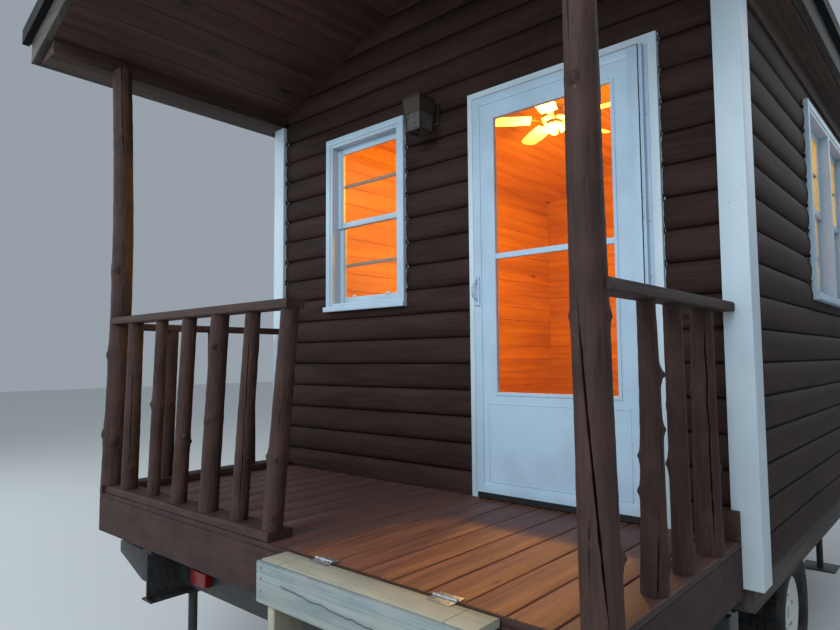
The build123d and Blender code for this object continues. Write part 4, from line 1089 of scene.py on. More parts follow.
def worn_plank(shape, low, high, along, edge=0.004, waver=0.0012):
    """A plank with rounded, slightly uneven edges that stays inside its corners."""
    low, high = Vector(low), Vector(high)
    other = 1 - along
    length = high[along] - low[along]
    count = max(2, round(length / 0.08))
    rings = []
    for k in range(count + 1):
        run = low[along] + length * k / count
        a0, a1 = low[other], high[other]
        z0, z1 = low.z, high.z
        ring = []
        corners = (
            (a0, z0 + edge), (a0, z1 - edge * 2), (a0 + edge * 0.7, z1 - edge * 0.6), (a0 + edge * 2, z1),
            (a1 - edge * 2, z1), (a1 - edge * 0.7, z1 - edge * 0.6), (a1, z1 - edge * 2), (a1, z0 + edge),
            (a1 - edge, z0), (a0 + edge, z0),
        )
        for n, (across, z) in enumerate(corners):
            point = Vector((0, 0, z))
            point[along], point[other] = run, across
            shift = waver * (0.5 + 0.5 * waver_at(run * 5 + n * 0.7, low.x * 3 + low.y, z * 4))
            point[other] += shift if across < (a0 + a1) / 2 else -shift
            if z > (z0 + z1) / 2:
                point.z -= shift * 0.6
            ring.append(point)
        rings.append(ring)
    shape.loft(rings)


def build_rails():
    shape = Shape()
    rail_front = rails_low.y
    rail_end = newel_foot + 0.145       # over the leaning newel's head
    start = -half_deck + 0.044 + 0.026  # beside the left post
    worn_plank(
        shape, (start, rail_front, front_rail_under), (rail_end, rail_front + RAIL_WIDTH, rails_high.z), 0,
    )
    shape.object("front_rail", "rail_x", "cabin", "peeled_log", ("top_rails",))
    shape = Shape()
    for side in (-1, 1):
        near, far = sorted((side * rails_high.x, side * (rails_high.x - RAIL_WIDTH)))
        first = rail_front + RAIL_WIDTH + 0.0003 if side < 0 else deck_front + 0.066
        worn_plank(
            shape, (near, first, side_rail_under), (far, rails_high.y, side_rail_under + RAIL_DEPTH), 1,
        )
    shape.object("side_rails", "rail_y", "cabin", "peeled_log")
    shape = Shape()
    worn_plank(
        shape, (plank_end, deck_front, deck), (newel_foot + 0.043, deck_front + PLANK_WIDTH, sill_top), 0,
    )
    shape.object("front_plank", "rail_x", "cabin", "deck_stain", ("sill_planks",))
    shape = Shape()
    first = deck_front + PLANK_WIDTH + 0.0003
    worn_plank(shape, (-half_deck, first, deck), (-half_deck + PLANK_WIDTH, rails_high.y, sill_top), 1)
    shape.block(
        (half_deck - 0.062, wall_front - 0.038, deck), (half_deck, wall_front, planks_high.z), 0.003, 2,
    )
    shape.object("side_plank", "rail_y", "cabin", "deck_stain")


def build_deck():
    shape = Shape()
    nails = Shape()
    width = (2 * half_deck + DECK_GAP) / DECK_BOARDS - DECK_GAP
    joists = (deck_front + 0.019, deck_front + 0.404, deck_front + 0.789, wall_front - 0.022)
    for i in range(DECK_BOARDS):
        left = -half_deck + i * (width + DECK_GAP)
        drop = 0.0006 + 0.0012 * (0.5 + 0.5 * waver_at(i * 3.3, 1.7))
        low = (left, deck_front + DECK_EDGE, deck_low.z)
        worn_plank(shape, low, (left + width, wall_front, deck - drop), 1, edge=0.0028, waver=0.0016)
        for y in joists:
            for share in (0.2, 0.8):
                x = left + width * share + 0.006 * waver_at(i * 5.1, y * 9)
                spot = (x, y + 0.008 * waver_at(y * 7, i), deck - drop - 0.004)
                nails.turned(spot, (0, 0, 1), ((0, 0.0042), (0.0036, 0.0042), (0.0041, 0.0032)), 10)
    shape.object("deck_planks", "deck_stain", "cabin", "deck_stain", ("deck_boards",))
    edge = Shape()
    edge_back = deck_front + DECK_EDGE - 0.0006
    low, high = (-half_deck, deck_front, deck_low.z + 0.0014), (half_deck, edge_back, deck - 0.001)
    worn_plank(edge, low, high, 0, edge=0.001, waver=0.0008)
    edge.object("deck_edge_strip", "rim_x", "cabin", "deck_stain")
    nails.object("deck_nails", "nail_heads", "cabin", "galvanised")
    shape = Shape()
    low, high = frame_low, frame_high
    bottom = high.z - 0.183
    worn_plank(shape, (low.x, low.y, bottom), (high.x, low.y + RIM_BOARD, high.z), 0, edge=0.003)
    x0, x1 = low.x + RIM_BOARD, high.x - RIM_BOARD
    worn_plank(shape, (x0, high.y - RIM_BOARD, bottom), (x1, high.y, high.z), 0, edge=0.003)
    shape.object("rim_boards_across", "rim_x", "cabin", "weathered_board", ("porch_frame",))
    shape = Shape()
    for side in (-1, 1):
        near, far = sorted((side * high.x, side * (high.x - RIM_BOARD)))
        worn_plank(shape, (near, low.y + RIM_BOARD, bottom), (far, high.y, high.z), 1, edge=0.003)
    shape.object("rim_boards_along", "rim_y", "cabin", "weathered_board")
    shape = Shape()
    for side in (-1, 1):
        middle = side * chassis_x
        worn_plank(
            shape, (middle - 0.045, low.y + 0.1, low.z), (middle + 0.045, high.y, bottom), 1, edge=0.003,
        )
    shape.object("deck_bearers", "weathered_board", "cabin", "weathered_board")


build_posts()
build_saplings()
build_rails()
build_deck()


# Windows
SASH_BORDER = 0.042
SASH_STEP = 0.010                # the lower inner edge of a sash
MEETING_RAIL = 0.034
JAMB = 0.020
JAMB_FRONT = 0.015
CASING_FACE = 0.0195
UPPER_SASH = (-0.052, -0.035)    # back and front, from the log crests
LOWER_SASH = (-0.070, -0.053)


def framed(left, right, low, high, width):
    """The bars of a frame: two uprights over its full height, then the head and the foot between them."""
    return (
        (left, left + width, low, high),
        (right - width, right, low, high),
        (left + width, right - width, high - width, high),
        (left + width, right - width, low, low + width),
    )


def window(name, node, axis, outward, units):
    """A double-hung vinyl window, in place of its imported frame. axis is the way that the wall runs."""
    low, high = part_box(node)
    other = 1 - axis
    face = high[other] if outward > 0 else low[other]
    crest = face - outward * CASING
    shape, bars = Shape(), Shape()

    def place(run, out, z):
        point = [0, 0, z]
        point[axis], point[other] = run, crest + outward * out
        return tuple(point)

    def bar(run0, run1, out0, out1, z0, z1, edge=0.0025, segments=2, onto=shape):
        a, b = place(run0, out0, z0), place(run1, out1, z1)
        onto.block([min(p, q) for p, q in zip(a, b)], [max(p, q) for p, q in zip(a, b)], edge, segments)

    left, right = low[axis] + SILL_EAR, high[axis] - SILL_EAR
    bottom, top = low.z, high.z
    bar(left - SILL_EAR, right + SILL_EAR, 0, 0.037, bottom, bottom + SILL_DEPTH)
    bar(left, left + CASING, -0.004, CASING_FACE, bottom + SILL_DEPTH, top - CASING)
    bar(right - CASING, right, -0.004, CASING_FACE, bottom + SILL_DEPTH, top - CASING)
    bar(left, right, -0.004, CASING_FACE, top - CASING, top)
    inner_left, inner_right = left + CASING, right - CASING
    inner_low, inner_top = bottom + SILL_DEPTH, top - CASING
    inner = -WALL_THICKNESS
    for run0, run1, z0, z1 in framed(inner_left, inner_right, inner_low, inner_top, JAMB):
        bar(run0, run1, inner, JAMB_FRONT, z0, z1, 0.0015)
    unit = (inner_right - inner_left - 2 * JAMB - (units - 1) * CASING) / units
    for i in range(units):
        run0 = inner_left + JAMB + i * (unit + CASING)
        run1 = run0 + unit
        if i:
            bar(run0 - CASING, run0, inner, JAMB_FRONT, inner_low + JAMB, inner_top - JAMB, 0.002)
        z0, z1 = inner_low + JAMB, inner_top - JAMB
        pane = (z1 - z0 - 2 * SASH_BORDER - MEETING_RAIL) / 2
        meeting = z0 + SASH_BORDER + pane
        glass0, glass1 = run0 + SASH_BORDER, run1 - SASH_BORDER
        for (back, front), s0, s1 in ((UPPER_SASH, meeting, z1), (LOWER_SASH, z0, meeting + MEETING_RAIL)):
            bar(run0, glass0 - SASH_STEP, back, front, s0, s1)
            bar(glass1 + SASH_STEP, run1, back, front, s0, s1)
            bar(glass0 - SASH_STEP, glass0, back, front - 0.006, s0, s1, 0.002)
            bar(glass1, glass1 + SASH_STEP, back, front - 0.006, s0, s1, 0.002)
            rail_low = SASH_BORDER if s0 == z0 else MEETING_RAIL
            rail_high = SASH_BORDER if s1 == z1 else MEETING_RAIL
            bar(glass0, glass1, back, front, s0, s0 + rail_low)
            bar(glass0, glass1, back, front, s1 - rail_high, s1)
            middle = (s0 + s1) / 2 + (0.012 if s1 == z1 else -0.012)
            bar(glass0, glass1, back - 0.014, back - 0.002, middle - 0.010, middle + 0.010, onto=bars)
        for share in (0.24, 0.76):
            spot = run0 + unit * share
            lift = z0 + SASH_BORDER
            bar(spot - 0.011, spot + 0.011, -0.060, -0.046, lift - 0.004, lift + 0.012, 0.003)
        lock, level = (run0 + run1) / 2, meeting + MEETING_RAIL
        bar(lock - 0.028, lock + 0.028, -0.072, -0.060, level - 0.004, level + 0.010, 0.004)
    shape.object(name, "window_frame", "cabin", "window_frame", (node,))
    bars.object(f"{node}_bars", "window_bar", "cabin", "window_frame")


def build_windows():
    window("front_sashes", "front_window", 0, -1, 1)
    window("back_sashes", "back_window", 0, 1, 1)
    window("left_sashes", "left_window", 1, -1, 2)
    window("right_sashes", "right_window", 1, 1, 2)


# Storm door
LEAF_GAP = 0.004
MEETING_BAR = 0.4884            # the bar's place up the glass, as a share
HINGE_INSET = 0.148
KNUCKLE = 0.09
KNUCKLES = 4
STRIP_SCREWS = 9
SWEEP_SCREWS = 8
glass_low, glass_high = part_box("storm_door_glass")
strip_low, strip_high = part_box("storm_door_hinge")
casing_low, casing_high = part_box("door_casing")


def build_door():
    front, back = door_low.y, door_high.y
    left, right, head = door_low.x + LEAF_GAP, door_high.x - LEAF_GAP, door_high.z - LEAF_GAP
    # Dark strips in the gaps at the leaf's sides and head are painted shade in those gaps; one more dark
    # strip fills the space under the leaf, down to the deck.
    gap_shade = Shape()
    for x0, x1, z0, z1 in (
        (door_low.x, left, door_low.z, door_high.z),
        (right, door_high.x, door_low.z, door_high.z),
        (left, right, head, door_high.z),
        (left + 0.002, right - 0.002, deck + 0.006, door_low.z + 0.002),
    ):
        gap_shade.block((x0, front + 0.004, z0), (x1, back - 0.006, z1), 0.0008)
    gap_shade.object("leaf_gap_shade", "gap_shade_paint", "storm_door", "white_door")
    shape = Shape()
    mid = glass_low.z + (glass_high.z - glass_low.z) * MEETING_BAR
    shape.block((left, front + 0.0045, door_low.z), (glass_low.x, back, head), 0.0015)
    shape.block((glass_high.x, front + 0.0045, door_low.z), (right, back, head), 0.0015)
    for z0, z1 in ((glass_high.z, head), (door_low.z, glass_low.z)):
        shape.block((glass_low.x - 0.0015, front + 0.0045, z0), (glass_high.x + 0.0015, back, z1))
    # The skin in front: an outer rim, then a shallow step towards the glass and round the kick panel
    for x0, x1, z0, z1 in framed(left, right, door_low.z, head, 0.045):
        shape.block((x0, front + 0.001, z0), (x1, front + 0.006, z1), 0.0009, 2)
    moulding = 0.016
    x0, x1 = glass_low.x - moulding, glass_high.x + moulding
    for x0, x1, z0, z1 in framed(x0, x1, glass_low.z - moulding, glass_high.z + moulding, moulding):
        shape.block((x0, front, z0), (x1, front + 0.008, z1), 0.002, 3)
    x0, x1 = glass_low.x - 0.002, glass_high.x + 0.002
    shape.block((x0, front + 0.002, mid - 0.014), (x1, back - 0.002, mid + 0.014), 0.003, 3)
    panel, bead_inset = 0.055, 0.075
    low_panel, high_panel = door_low.z + panel, glass_low.z - panel
    bead = 0.005
    for x0, x1, z0, z1 in (
        (left + bead_inset, left + bead_inset + bead, low_panel, high_panel),
        (right - bead_inset - bead, right - bead_inset, low_panel, high_panel),
        (left + bead_inset, right - bead_inset, high_panel - bead, high_panel),
        (left + bead_inset, right - bead_inset, low_panel, low_panel + bead),
    ):
        shape.block((x0, front + 0.0022, z0), (x1, front + 0.006, z1), 0.0012, 2)
    shape.object("door_leaf", "white_door", "storm_door", "white_door", ("storm_door_leaf",))
    shape = Shape()
    shape.block(
        (left + 0.002, front + 0.003, door_low.z), (right - 0.002, front + 0.0065, door_low.z + 0.026), 0.001,
    )
    for k in range(SWEEP_SCREWS):
        x = left + 0.05 + (right - left - 0.1) * k / (SWEEP_SCREWS - 1)
        spot = (x, front + 0.004, door_low.z + 0.014)
        shape.turned(spot, (0, -1, 0), ((0, 0.003), (0.0015, 0.003), (0.0022, 0.002)), 12)
    shape.object("door_sweep", "dull_aluminium", "storm_door", "white_door")


def build_hinge_strip():
    """The hinge bar: four knuckles up the pin, and the fixing strip with its screws."""
    shape = Shape()
    pin_x, pin_y = strip_low.x + 0.004, strip_low.y + 0.004
    lowest, highest = strip_low.z + HINGE_INSET, strip_high.z - HINGE_INSET
    cuts = [strip_low.z]
    for k in range(KNUCKLES):
        middle = lowest + (highest - lowest) * k / (KNUCKLES - 1)
        cuts += [middle - KNUCKLE / 2, middle + KNUCKLE / 2]
    cuts.append(strip_high.z)
    for z0, z1 in zip(cuts, cuts[1:]):
        tall = z1 - z0
        stations = ((0.0008, 0.003), (0.0026, 0.0039), (tall - 0.0026, 0.0039), (tall - 0.0008, 0.003))
        shape.turned((pin_x, pin_y, z0), (0, 0, 1), stations, 14)
    web_left = pin_x + 0.003
    for x0, x1, y0, y1, edge in (
        (web_left, web_left + 0.007, pin_y - 0.0015, pin_y + 0.0015, 0.0006),
        (web_left + 0.004, web_left + 0.007, pin_y + 0.0015, strip_high.y, 0.0006),
        (web_left + 0.004, strip_high.x, strip_high.y - 0.003, strip_high.y, 0.0008),
    ):
        shape.block((x0, y0, strip_low.z), (x1, y1, strip_high.z), edge)
    shape.object("hinge_strip", "white_door", "cabin", "white_door", ("storm_door_hinge",))
    screws = Shape()
    for k in range(STRIP_SCREWS):
        z = strip_low.z + 0.08 + (strip_high.z - strip_low.z - 0.16) * k / (STRIP_SCREWS - 1)
        spot = (strip_high.x - 0.010, strip_high.y - 0.003, z)
        screws.turned(spot, (0, -1, 0), ((0, 0.0042), (0.0012, 0.0042), (0.0022, 0.0026)), 14)
    screws.object("hinge_screws", "steel_screw", "cabin", "galvanised")


def build_handle():
    shape = Shape()
    low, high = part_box("storm_door_handle")
    middle_x = (low.x + high.x) / 2
    face = high.y
    shape.block((low.x, face - 0.006, low.z), (high.x, face, high.z), 0.0045, 4)
    top, bottom = high.z - 0.030, low.z + 0.030
    reach = low.y + 0.0065
    arc = []
    for k in range(17):
        share = k / 16
        bend = math.sin(math.pi * share) ** 0.45
        arc.append((middle_x, face - 0.005 + (reach - face + 0.005) * bend, bottom + (top - bottom) * share))
    shape.bent_bar(arc, 0.0058, 14)
    x0, x1 = middle_x - 0.007, middle_x + 0.007
    shape.block((x0, face - 0.018, high.z - 0.022), (x1, face - 0.004, high.z - 0.008), 0.003, 3)
    shape.object("door_pull", "white_door", "storm_door", "dark_bronze", ("storm_door_handle",))
    shape = Shape()
    for z in (high.z - 0.006, low.z + 0.006):
        shape.turned(
            (middle_x, face - 0.0055, z), (0, -1, 0), ((0, 0.0032), (0.0008, 0.0032), (0.0014, 0.002)), 12,
        )
    shape.object("pull_screws", "steel_screw", "storm_door", "galvanised")


def caulk_line(shape, run, side, axis, outward, crest, low, high, seed):
    """A ragged bead of paint and caulk where a board's edge meets the logs."""
    count = round((high - low) / 0.006)
    rings = []
    for k in range(count + 1):
        z = low + (high - low) * k / count
        share = ((z - siding_bottom) / COURSE) % 1
        depth = log_profile(share) + 0.0002
        width = 0.0006 + 0.0042 * max(0.0, waver_at(z * 31, seed)) + 0.0012 * waver_at(z * 90, seed + 3)
        width = max(0.0003, width)
        if depth > 0.009:
            depth += 0.004
        ring = []
        for across, out in ((-0.002, 0.0018), (width, 0.0012), (width, -0.004), (-0.002, -0.004)):
            point = [0, 0, z]
            point[axis] = run + side * across
            point[1 - axis] = crest - outward * (depth - out * 0.9)
            ring.append(tuple(point))
        rings.append(ring)
    shape.loft(rings)


def build_caulk():
    shape = Shape()
    gable_top = soffit - 0.002
    trim_inner = half_cabin + 0.022 - 0.105
    for side in (-1, 1):
        caulk_line(shape, side * trim_inner, -side, 0, -1, wall_front, deck, gable_top, side * 2)
        caulk_line(shape, side * trim_inner, -side, 0, 1, wall_back, siding_bottom, gable_top, side * 3)
        near = wall_front + WALL_THICKNESS
        caulk_line(shape, near, 1, 1, side, side * half_cabin, siding_bottom, frieze_bottom, side * 5)
        far = wall_back - WALL_THICKNESS
        caulk_line(shape, far, -1, 1, side, side * half_cabin, siding_bottom, frieze_bottom, side * 7)
    for x, side in ((casing_low.x, -1), (casing_high.x, 1)):
        caulk_line(shape, x, side, 0, -1, wall_front, deck, casing_high.z, 11 + side)
    for node, axis, outward in (
        ("front_window", 0, -1), ("back_window", 0, 1), ("left_window", 1, -1), ("right_window", 1, 1),
    ):
        low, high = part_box(node)
        crest = (low if outward < 0 else high)[1 - axis] - outward * CASING
        caulk_line(shape, low[axis] + SILL_EAR, -1, axis, outward, crest, low.z, high.z, 17)
        caulk_line(shape, high[axis] - SILL_EAR, 1, axis, outward, crest, low.z, high.z, 19)
    shape.object("caulk_lines", "white_trim", "cabin", "white_trim")


def build_lantern():
    low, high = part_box("porch_light")
    centre_x = (low.x + high.x) / 2
    depth = 0.130
    centre_y = low.y + depth / 2
    top, foot = depth / 2, depth / 2 * 0.8
    shape = Shape()

    def half_at(z):
        return foot + (top - foot) * (z - low.z) / (high.z - low.z)

    def walls(onto, faces, z0, z1, inset, gauge, lap=0.0):
        """Tapered walls, set in from the lantern's outside and ended short of its corners by lap."""
        for sx, sy in faces:
            rings = []
            for z in (z0, z1):
                half = half_at(z) - inset
                side, inner = half - lap, half - gauge
                if sx:
                    ring = ((sx * half, -side), (sx * half, side), (sx * inner, side), (sx * inner, -side))
                else:
                    ring = ((-side, sy * half), (side, sy * half), (side, sy * inner), (-side, sy * inner))
                rings.append([(centre_x + x, centre_y + y, z) for x, y in ring])
            onto.loft(rings)

    all_round = ((1, 0), (-1, 0), (0, 1), (0, -1))
    for z0, z1, gauge in (
        (high.z - 0.085, high.z - 0.004, 0.003), (high.z - 0.012, high.z, 0.006),
        (high.z - 0.093, high.z - 0.083, 0.006), (low.z, low.z + 0.010, 0.008),
    ):
        walls(shape, all_round, z0, z1, 0.0005, gauge)
    for sx in (-1, 1):
        for sy in (-1, 1):
            rings = []
            for z in (low.z, high.z - 0.08):
                half = half_at(z) - 0.0006
                x, y = sx * half, sy * half
                ring = ((x, y), (x - sx * 0.009, y), (x - sx * 0.009, y - sy * 0.009), (x, y - sy * 0.009))
                rings.append([(centre_x + a, centre_y + b, z) for a, b in ring])
            shape.loft(rings)
    half = half_at(high.z) - 0.004
    for reach, y0, y1, z0, z1, edge, segments in (
        (half, centre_y - half, centre_y + half, high.z - 0.008, high.z - 0.003, 0.001, 1),
        (0.042, centre_y + top - 0.012, wall_front + 0.004, low.z + 0.075, high.z - 0.02, 0.006, 3),
        (0.055, wall_front - 0.014, wall_front + 0.012, low.z + 0.060, high.z - 0.010, 0.005, 3),
    ):
        shape.block((centre_x - reach, y0, z0), (centre_x + reach, y1, z1), edge, segments)
    shape.turned(
        (centre_x, centre_y, high.z - 0.075), (0, 0, 1), ((0, 0.018), (0.03, 0.020), (0.065, 0.020)), 20,
    )
    shape.object("lantern_body", "dark_bronze", "cabin", "dark_bronze", ("porch_light",))
    panes = Shape()
    glazed = ((1, 0), (-1, 0), (0, -1))
    walls(panes, glazed, low.z + 0.009, high.z - 0.084, 0.004, 0.003, lap=0.006)
    panes.object("lantern_panes", "seeded_glass", "cabin", "dark_bronze")
    bulb = Shape()
    bulb.turned(
        (centre_x, centre_y, high.z - 0.075), (0, 0, -1),
        ((0, 0.012), (0.012, 0.013), (0.026, 0.024), (0.044, 0.029), (0.058, 0.024), (0.068, 0.010)), 24,
    )
    bulb.object("lantern_bulb", "milk_glass", "cabin", "dark_bronze")


build_windows()
build_door()
build_hinge_strip()
build_handle()
build_caulk()
build_lantern()


# Roof
roof_low, roof_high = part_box("roof_right")
cover_low, cover_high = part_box("roofing_right")
cap_low, cap_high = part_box("ridge_cap")
PANEL_DEPTH = 0.184
COVER_THICKNESS = 0.026
CEILING_PITCH = 0.1398
CEILING_GROOVE = 0.004
CEILING_BOARD = 0.019
SHINGLE_COURSE = 0.139
SHINGLE_TAB = 0.301
SHINGLE_BUTT = 0.0075
SHINGLE_GAP = 0.0022            # at each end of a tab
CEILING_JOINT = 0.0012


def build_ceiling():
    """Tongue-and-groove boards from the front edge to the back, with the roof's panels over them."""
    edge = roof_high.x
    for side, word in SIDES.items():
        shape = Shape()
        count = round(edge / CEILING_PITCH)
        pitch = edge / count
        for i in range(count):
            x0, x1 = i * pitch, (i + 1) * pitch
            joint = wall_front + 0.6 + 2.4 * (0.5 + 0.5 * waver_at(i * 5.7, side * 3.3))
            for y0, y1 in ((roof_low.y, joint - CEILING_JOINT / 2), (joint + CEILING_JOINT / 2, roof_high.y)):
                spread = (
                    (x0, CEILING_GROOVE), (x0 + CEILING_GROOVE, 0), (x1 - CEILING_GROOVE, 0),
                    (x1, CEILING_GROOVE),
                )
                ring = [(side * x, roof_under(x) + lift + 0.0003) for x, lift in spread]
                ring += [(side * x, roof_under(x) + CEILING_BOARD) for x in (x1, x0)]
                shape.extruded(ring, y0, y1)
        shape.object(
            f"ceiling_boards_{word}", "ceiling_board", "cabin", "ceiling_board", (f"roof_{word}",), smooth=20,
        )
        shape = Shape()
        core = [(x, roof_under(x) + CEILING_BOARD) for x in (0.0005, edge)]
        core += [(x, roof_under(x) + PANEL_DEPTH - 0.0005) for x in (edge, 0.0005)]
        shape.extruded([(side * x, z) for x, z in core], roof_low.y, roof_high.y)
        shape.object(f"roof_deck_{word}", "ceiling_board", "cabin", "ceiling_board")


def cover_at(x):
    """The height that the shingles lie on."""
    return roof_under(x) + PANEL_DEPTH + COVER_THICKNESS - SHINGLE_BUTT


def build_shingles():
    level = math.cos(math.atan(ROOF_SLOPE))
    for side, word in SIDES.items():
        sheet = Shape()
        sheet.mesh.from_mesh(frame["nodes"][f"roofing_{word}"].data)
        sheet.weld(0.0001)
        for vert in sheet.mesh.verts:
            if vert.co.z > roof_under(vert.co.x) + PANEL_DEPTH + COVER_THICKNESS / 2:
                vert.co.z -= SHINGLE_BUTT
        sheet.object(f"drip_edges_{word}", "drip_metal", "cabin", "roofing", (f"roofing_{word}",), smooth=25)
        shape = Shape()
        edge = cover_high.x - 0.001
        rows = math.ceil(edge / (SHINGLE_COURSE * level))
        for row in range(rows):
            x0 = edge - row * SHINGLE_COURSE * level
            x1 = max(0.001, x0 - (SHINGLE_COURSE + 0.02) * level)
            start = cover_low.y + 0.001
            shift = SHINGLE_TAB * (row % 2) * 0.5 + 0.02 * waver_at(row * 3.1, side)
            cuts = [start]
            while cuts[-1] < cover_high.y - 0.001:
                tab = shift if len(cuts) == 1 and shift > 0.05 else SHINGLE_TAB
                cuts.append(min(cover_high.y - 0.001, cuts[-1] + tab))
            for y0, y1 in zip(cuts, cuts[1:]):
                if y1 - y0 < 0.01:
                    continue
                butt = SHINGLE_BUTT * (0.62 + 0.25 * waver_at(y0 * 7, row * 2.3))
                droop = 0.004 * waver_at(y0 * 5, row * 4.1)
                x_low = min(edge, x0 + droop)
                top_low, top0, top1 = cover_at(x_low), cover_at(x0), cover_at(x1)
                ring = [(x_low, top_low), (x_low, top_low + butt), (x1, top1 + 0.0012), (x1, top1 - 0.001)]
                ring.append((x0, top0 - 0.001))
                shape.extruded([(side * x, z) for x, z in ring], y0 + SHINGLE_GAP, y1 - SHINGLE_GAP)
        shape.object(f"shingles_{word}", "roofing", "cabin", "roofing", smooth=20)
    shape = Shape()
    count = round((cap_high.y - cap_low.y) / SHINGLE_COURSE)
    pitch = (cap_high.y - cap_low.y) / count
    width = cap_high.x
    for k in range(count):
        y0 = cap_low.y + k * pitch
        y1 = min(cap_high.y, y0 + pitch * 1.25)
        rings = []
        for y, lift in ((y0, 0.0132), (y1, 0.006)):
            top = cap_high.z - 0.0140
            foot, crown = top - width * ROOF_SLOPE + lift, top + lift - 0.002
            outer = [(-width, foot), (-0.006, crown), (0.006, crown), (width, foot)]
            inner = [(x, z - 0.0055) for x, z in reversed(outer)]
            rings.append([(x, y, z) for x, z in outer + inner])
        shape.loft(rings)
    shape.object("ridge_shingles", "roofing", "cabin", "roofing", ("ridge_cap",), smooth=20)


def build_roof_trim():
    eased("rake_fascias", "gable_fascias", "fascia_x", "cabin", "weathered_board", 0.003)
    eased("eave_fascias", "eave_fascia_boards", "weathered_board", "cabin", "weathered_board", 0.003)
    eased("porch_beams", "eave_beams", "beam_wood", "cabin", "ceiling_board", 0.004)
    eased("eave_boards", "soffit_and_frieze", "beam_wood", "cabin", "weathered_board", 0.0015)


build_ceiling()
build_shingles()
build_roof_trim()


# Folding step
step_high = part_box("step_treads")[1]
leaves_low, leaves_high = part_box("deck_hinge_leaves")
END_BLOCK = 0.1
TOP_BOARD = 0.025
TREAD = 0.038
TREAD_RUN = 0.23
TREADS = 3
LEAF_WIDTH = 0.09


def build_step():
    shape = Shape()
    left, right = riser_low.x, riser_high.x
    back, face = step_high.y - 0.005, riser_low.y
    board_front = riser_high.y + 0.0006
    seam = 0.0026
    for x0, x1 in (
        (left, left + END_BLOCK), (left + END_BLOCK + seam, right - END_BLOCK - seam),
        (right - END_BLOCK, right),
    ):
        worn_plank(
            shape, (x0, board_front, deck - TOP_BOARD), (x1, back, deck - 0.0004), 0, edge=0.002,
            waver=0.0009,
        )
    for k in range(TREADS):
        level = deck - (k + 1) * deck / (TREADS + 1)
        nose = face - (k + 1) * TREAD_RUN
        low = (left + 0.04, nose, level - TREAD)
        worn_plank(shape, low, (right - 0.04, nose + TREAD_RUN + 0.018, level), 0, edge=0.004, waver=0.0016)
    shape.object("tread_planks", "bare_pine", "folding_step", "bare_pine", ("step_treads",))
    shape = Shape()
    worn_plank(shape, (left, face, riser_low.z), (right, riser_high.y, deck - 0.0008), 0, edge=0.003)
    shape.object("riser_plank", "riser_pine", "folding_step", "bare_pine", ("step_riser",))
    eased("step_stringers", "stringer_planks", "bare_pine_z", "folding_step", "bare_pine", 0.003)
    nails = Shape()
    for x in (left + 0.058, right - 0.058):
        for k in range(TREADS):
            level = deck - (k + 1) * deck / (TREADS + 1)
            for share in (0.3, 0.72):
                y = face - (k + 1) * TREAD_RUN + TREAD_RUN * share
                spot = (x + 0.004 * waver_at(k * 3.3, share), y, level - 0.0045)
                nails.turned(spot, (0, 0, 1), ((0, 0.005), (0.0036, 0.005), (0.0042, 0.004)), 12)
        for share in (0.3, 0.7):
            spot = (x, board_front + (back - board_front) * share, deck - 0.0049)
            nails.turned(spot, (0, 0, 1), ((0, 0.0045), (0.0036, 0.0045), (0.0042, 0.0036)), 12)
        for share in (0.3, 0.6, 0.85):
            z = riser_low.z + (deck - riser_low.z) * share
            spot = (x + math.copysign(0.032, x - (left + right) / 2), face + 0.0035, z)
            nails.turned(spot, (0, -1, 0), ((0, 0.0045), (0.0026, 0.0045), (0.0032, 0.0036)), 12)
    nails.object("step_nails", "nail_heads", "folding_step", "galvanised")


def build_step_hinges():
    eased("deck_hinge_leaves", "hinge_leaves_on_deck", "galvanised", "cabin", "galvanised", 0.0006)
    eased("step_hinge_leaves", "hinge_leaves_on_step", "galvanised", "folding_step", "galvanised", 0.0006)
    deck_screws, step_screws = Shape(), Shape()
    pin_y = leaves_low.y + 0.005
    for left in (leaves_low.x, leaves_high.x - LEAF_WIDTH):
        for share in (0.18, 0.5, 0.82):
            for screws, away in ((deck_screws, 1), (step_screws, -1)):
                shift = 0.024 if share == 0.5 else 0.017
                spot = (left + LEAF_WIDTH * share, pin_y + away * (shift + 0.005), deck + 0.0028)
                screws.turned(spot, (0, 0, 1), ((0, 0.0042), (0.0006, 0.0042), (0.0012, 0.0034)), 16)
                screws.turned((*spot[:2], deck + 0.0041), (0, 0, 1), ((0, 0.0016), (0.0002, 0.0014)), 6)
    deck_screws.object("deck_leaf_screws", "steel_screw", "cabin", "galvanised")
    step_screws.object("step_leaf_screws", "steel_screw", "folding_step", "galvanised")


build_step()
build_step_hinges()


# Running gear and chassis
TREAD_BLOCKS = 60
TYRE_SIDES = 240
RIM_SIDES = 72
RIM_HALF = 0.074                # of the rim's width
BEAD = 0.184                    # the radius where the tyre sits on the rim
LUG_NUTS = 5


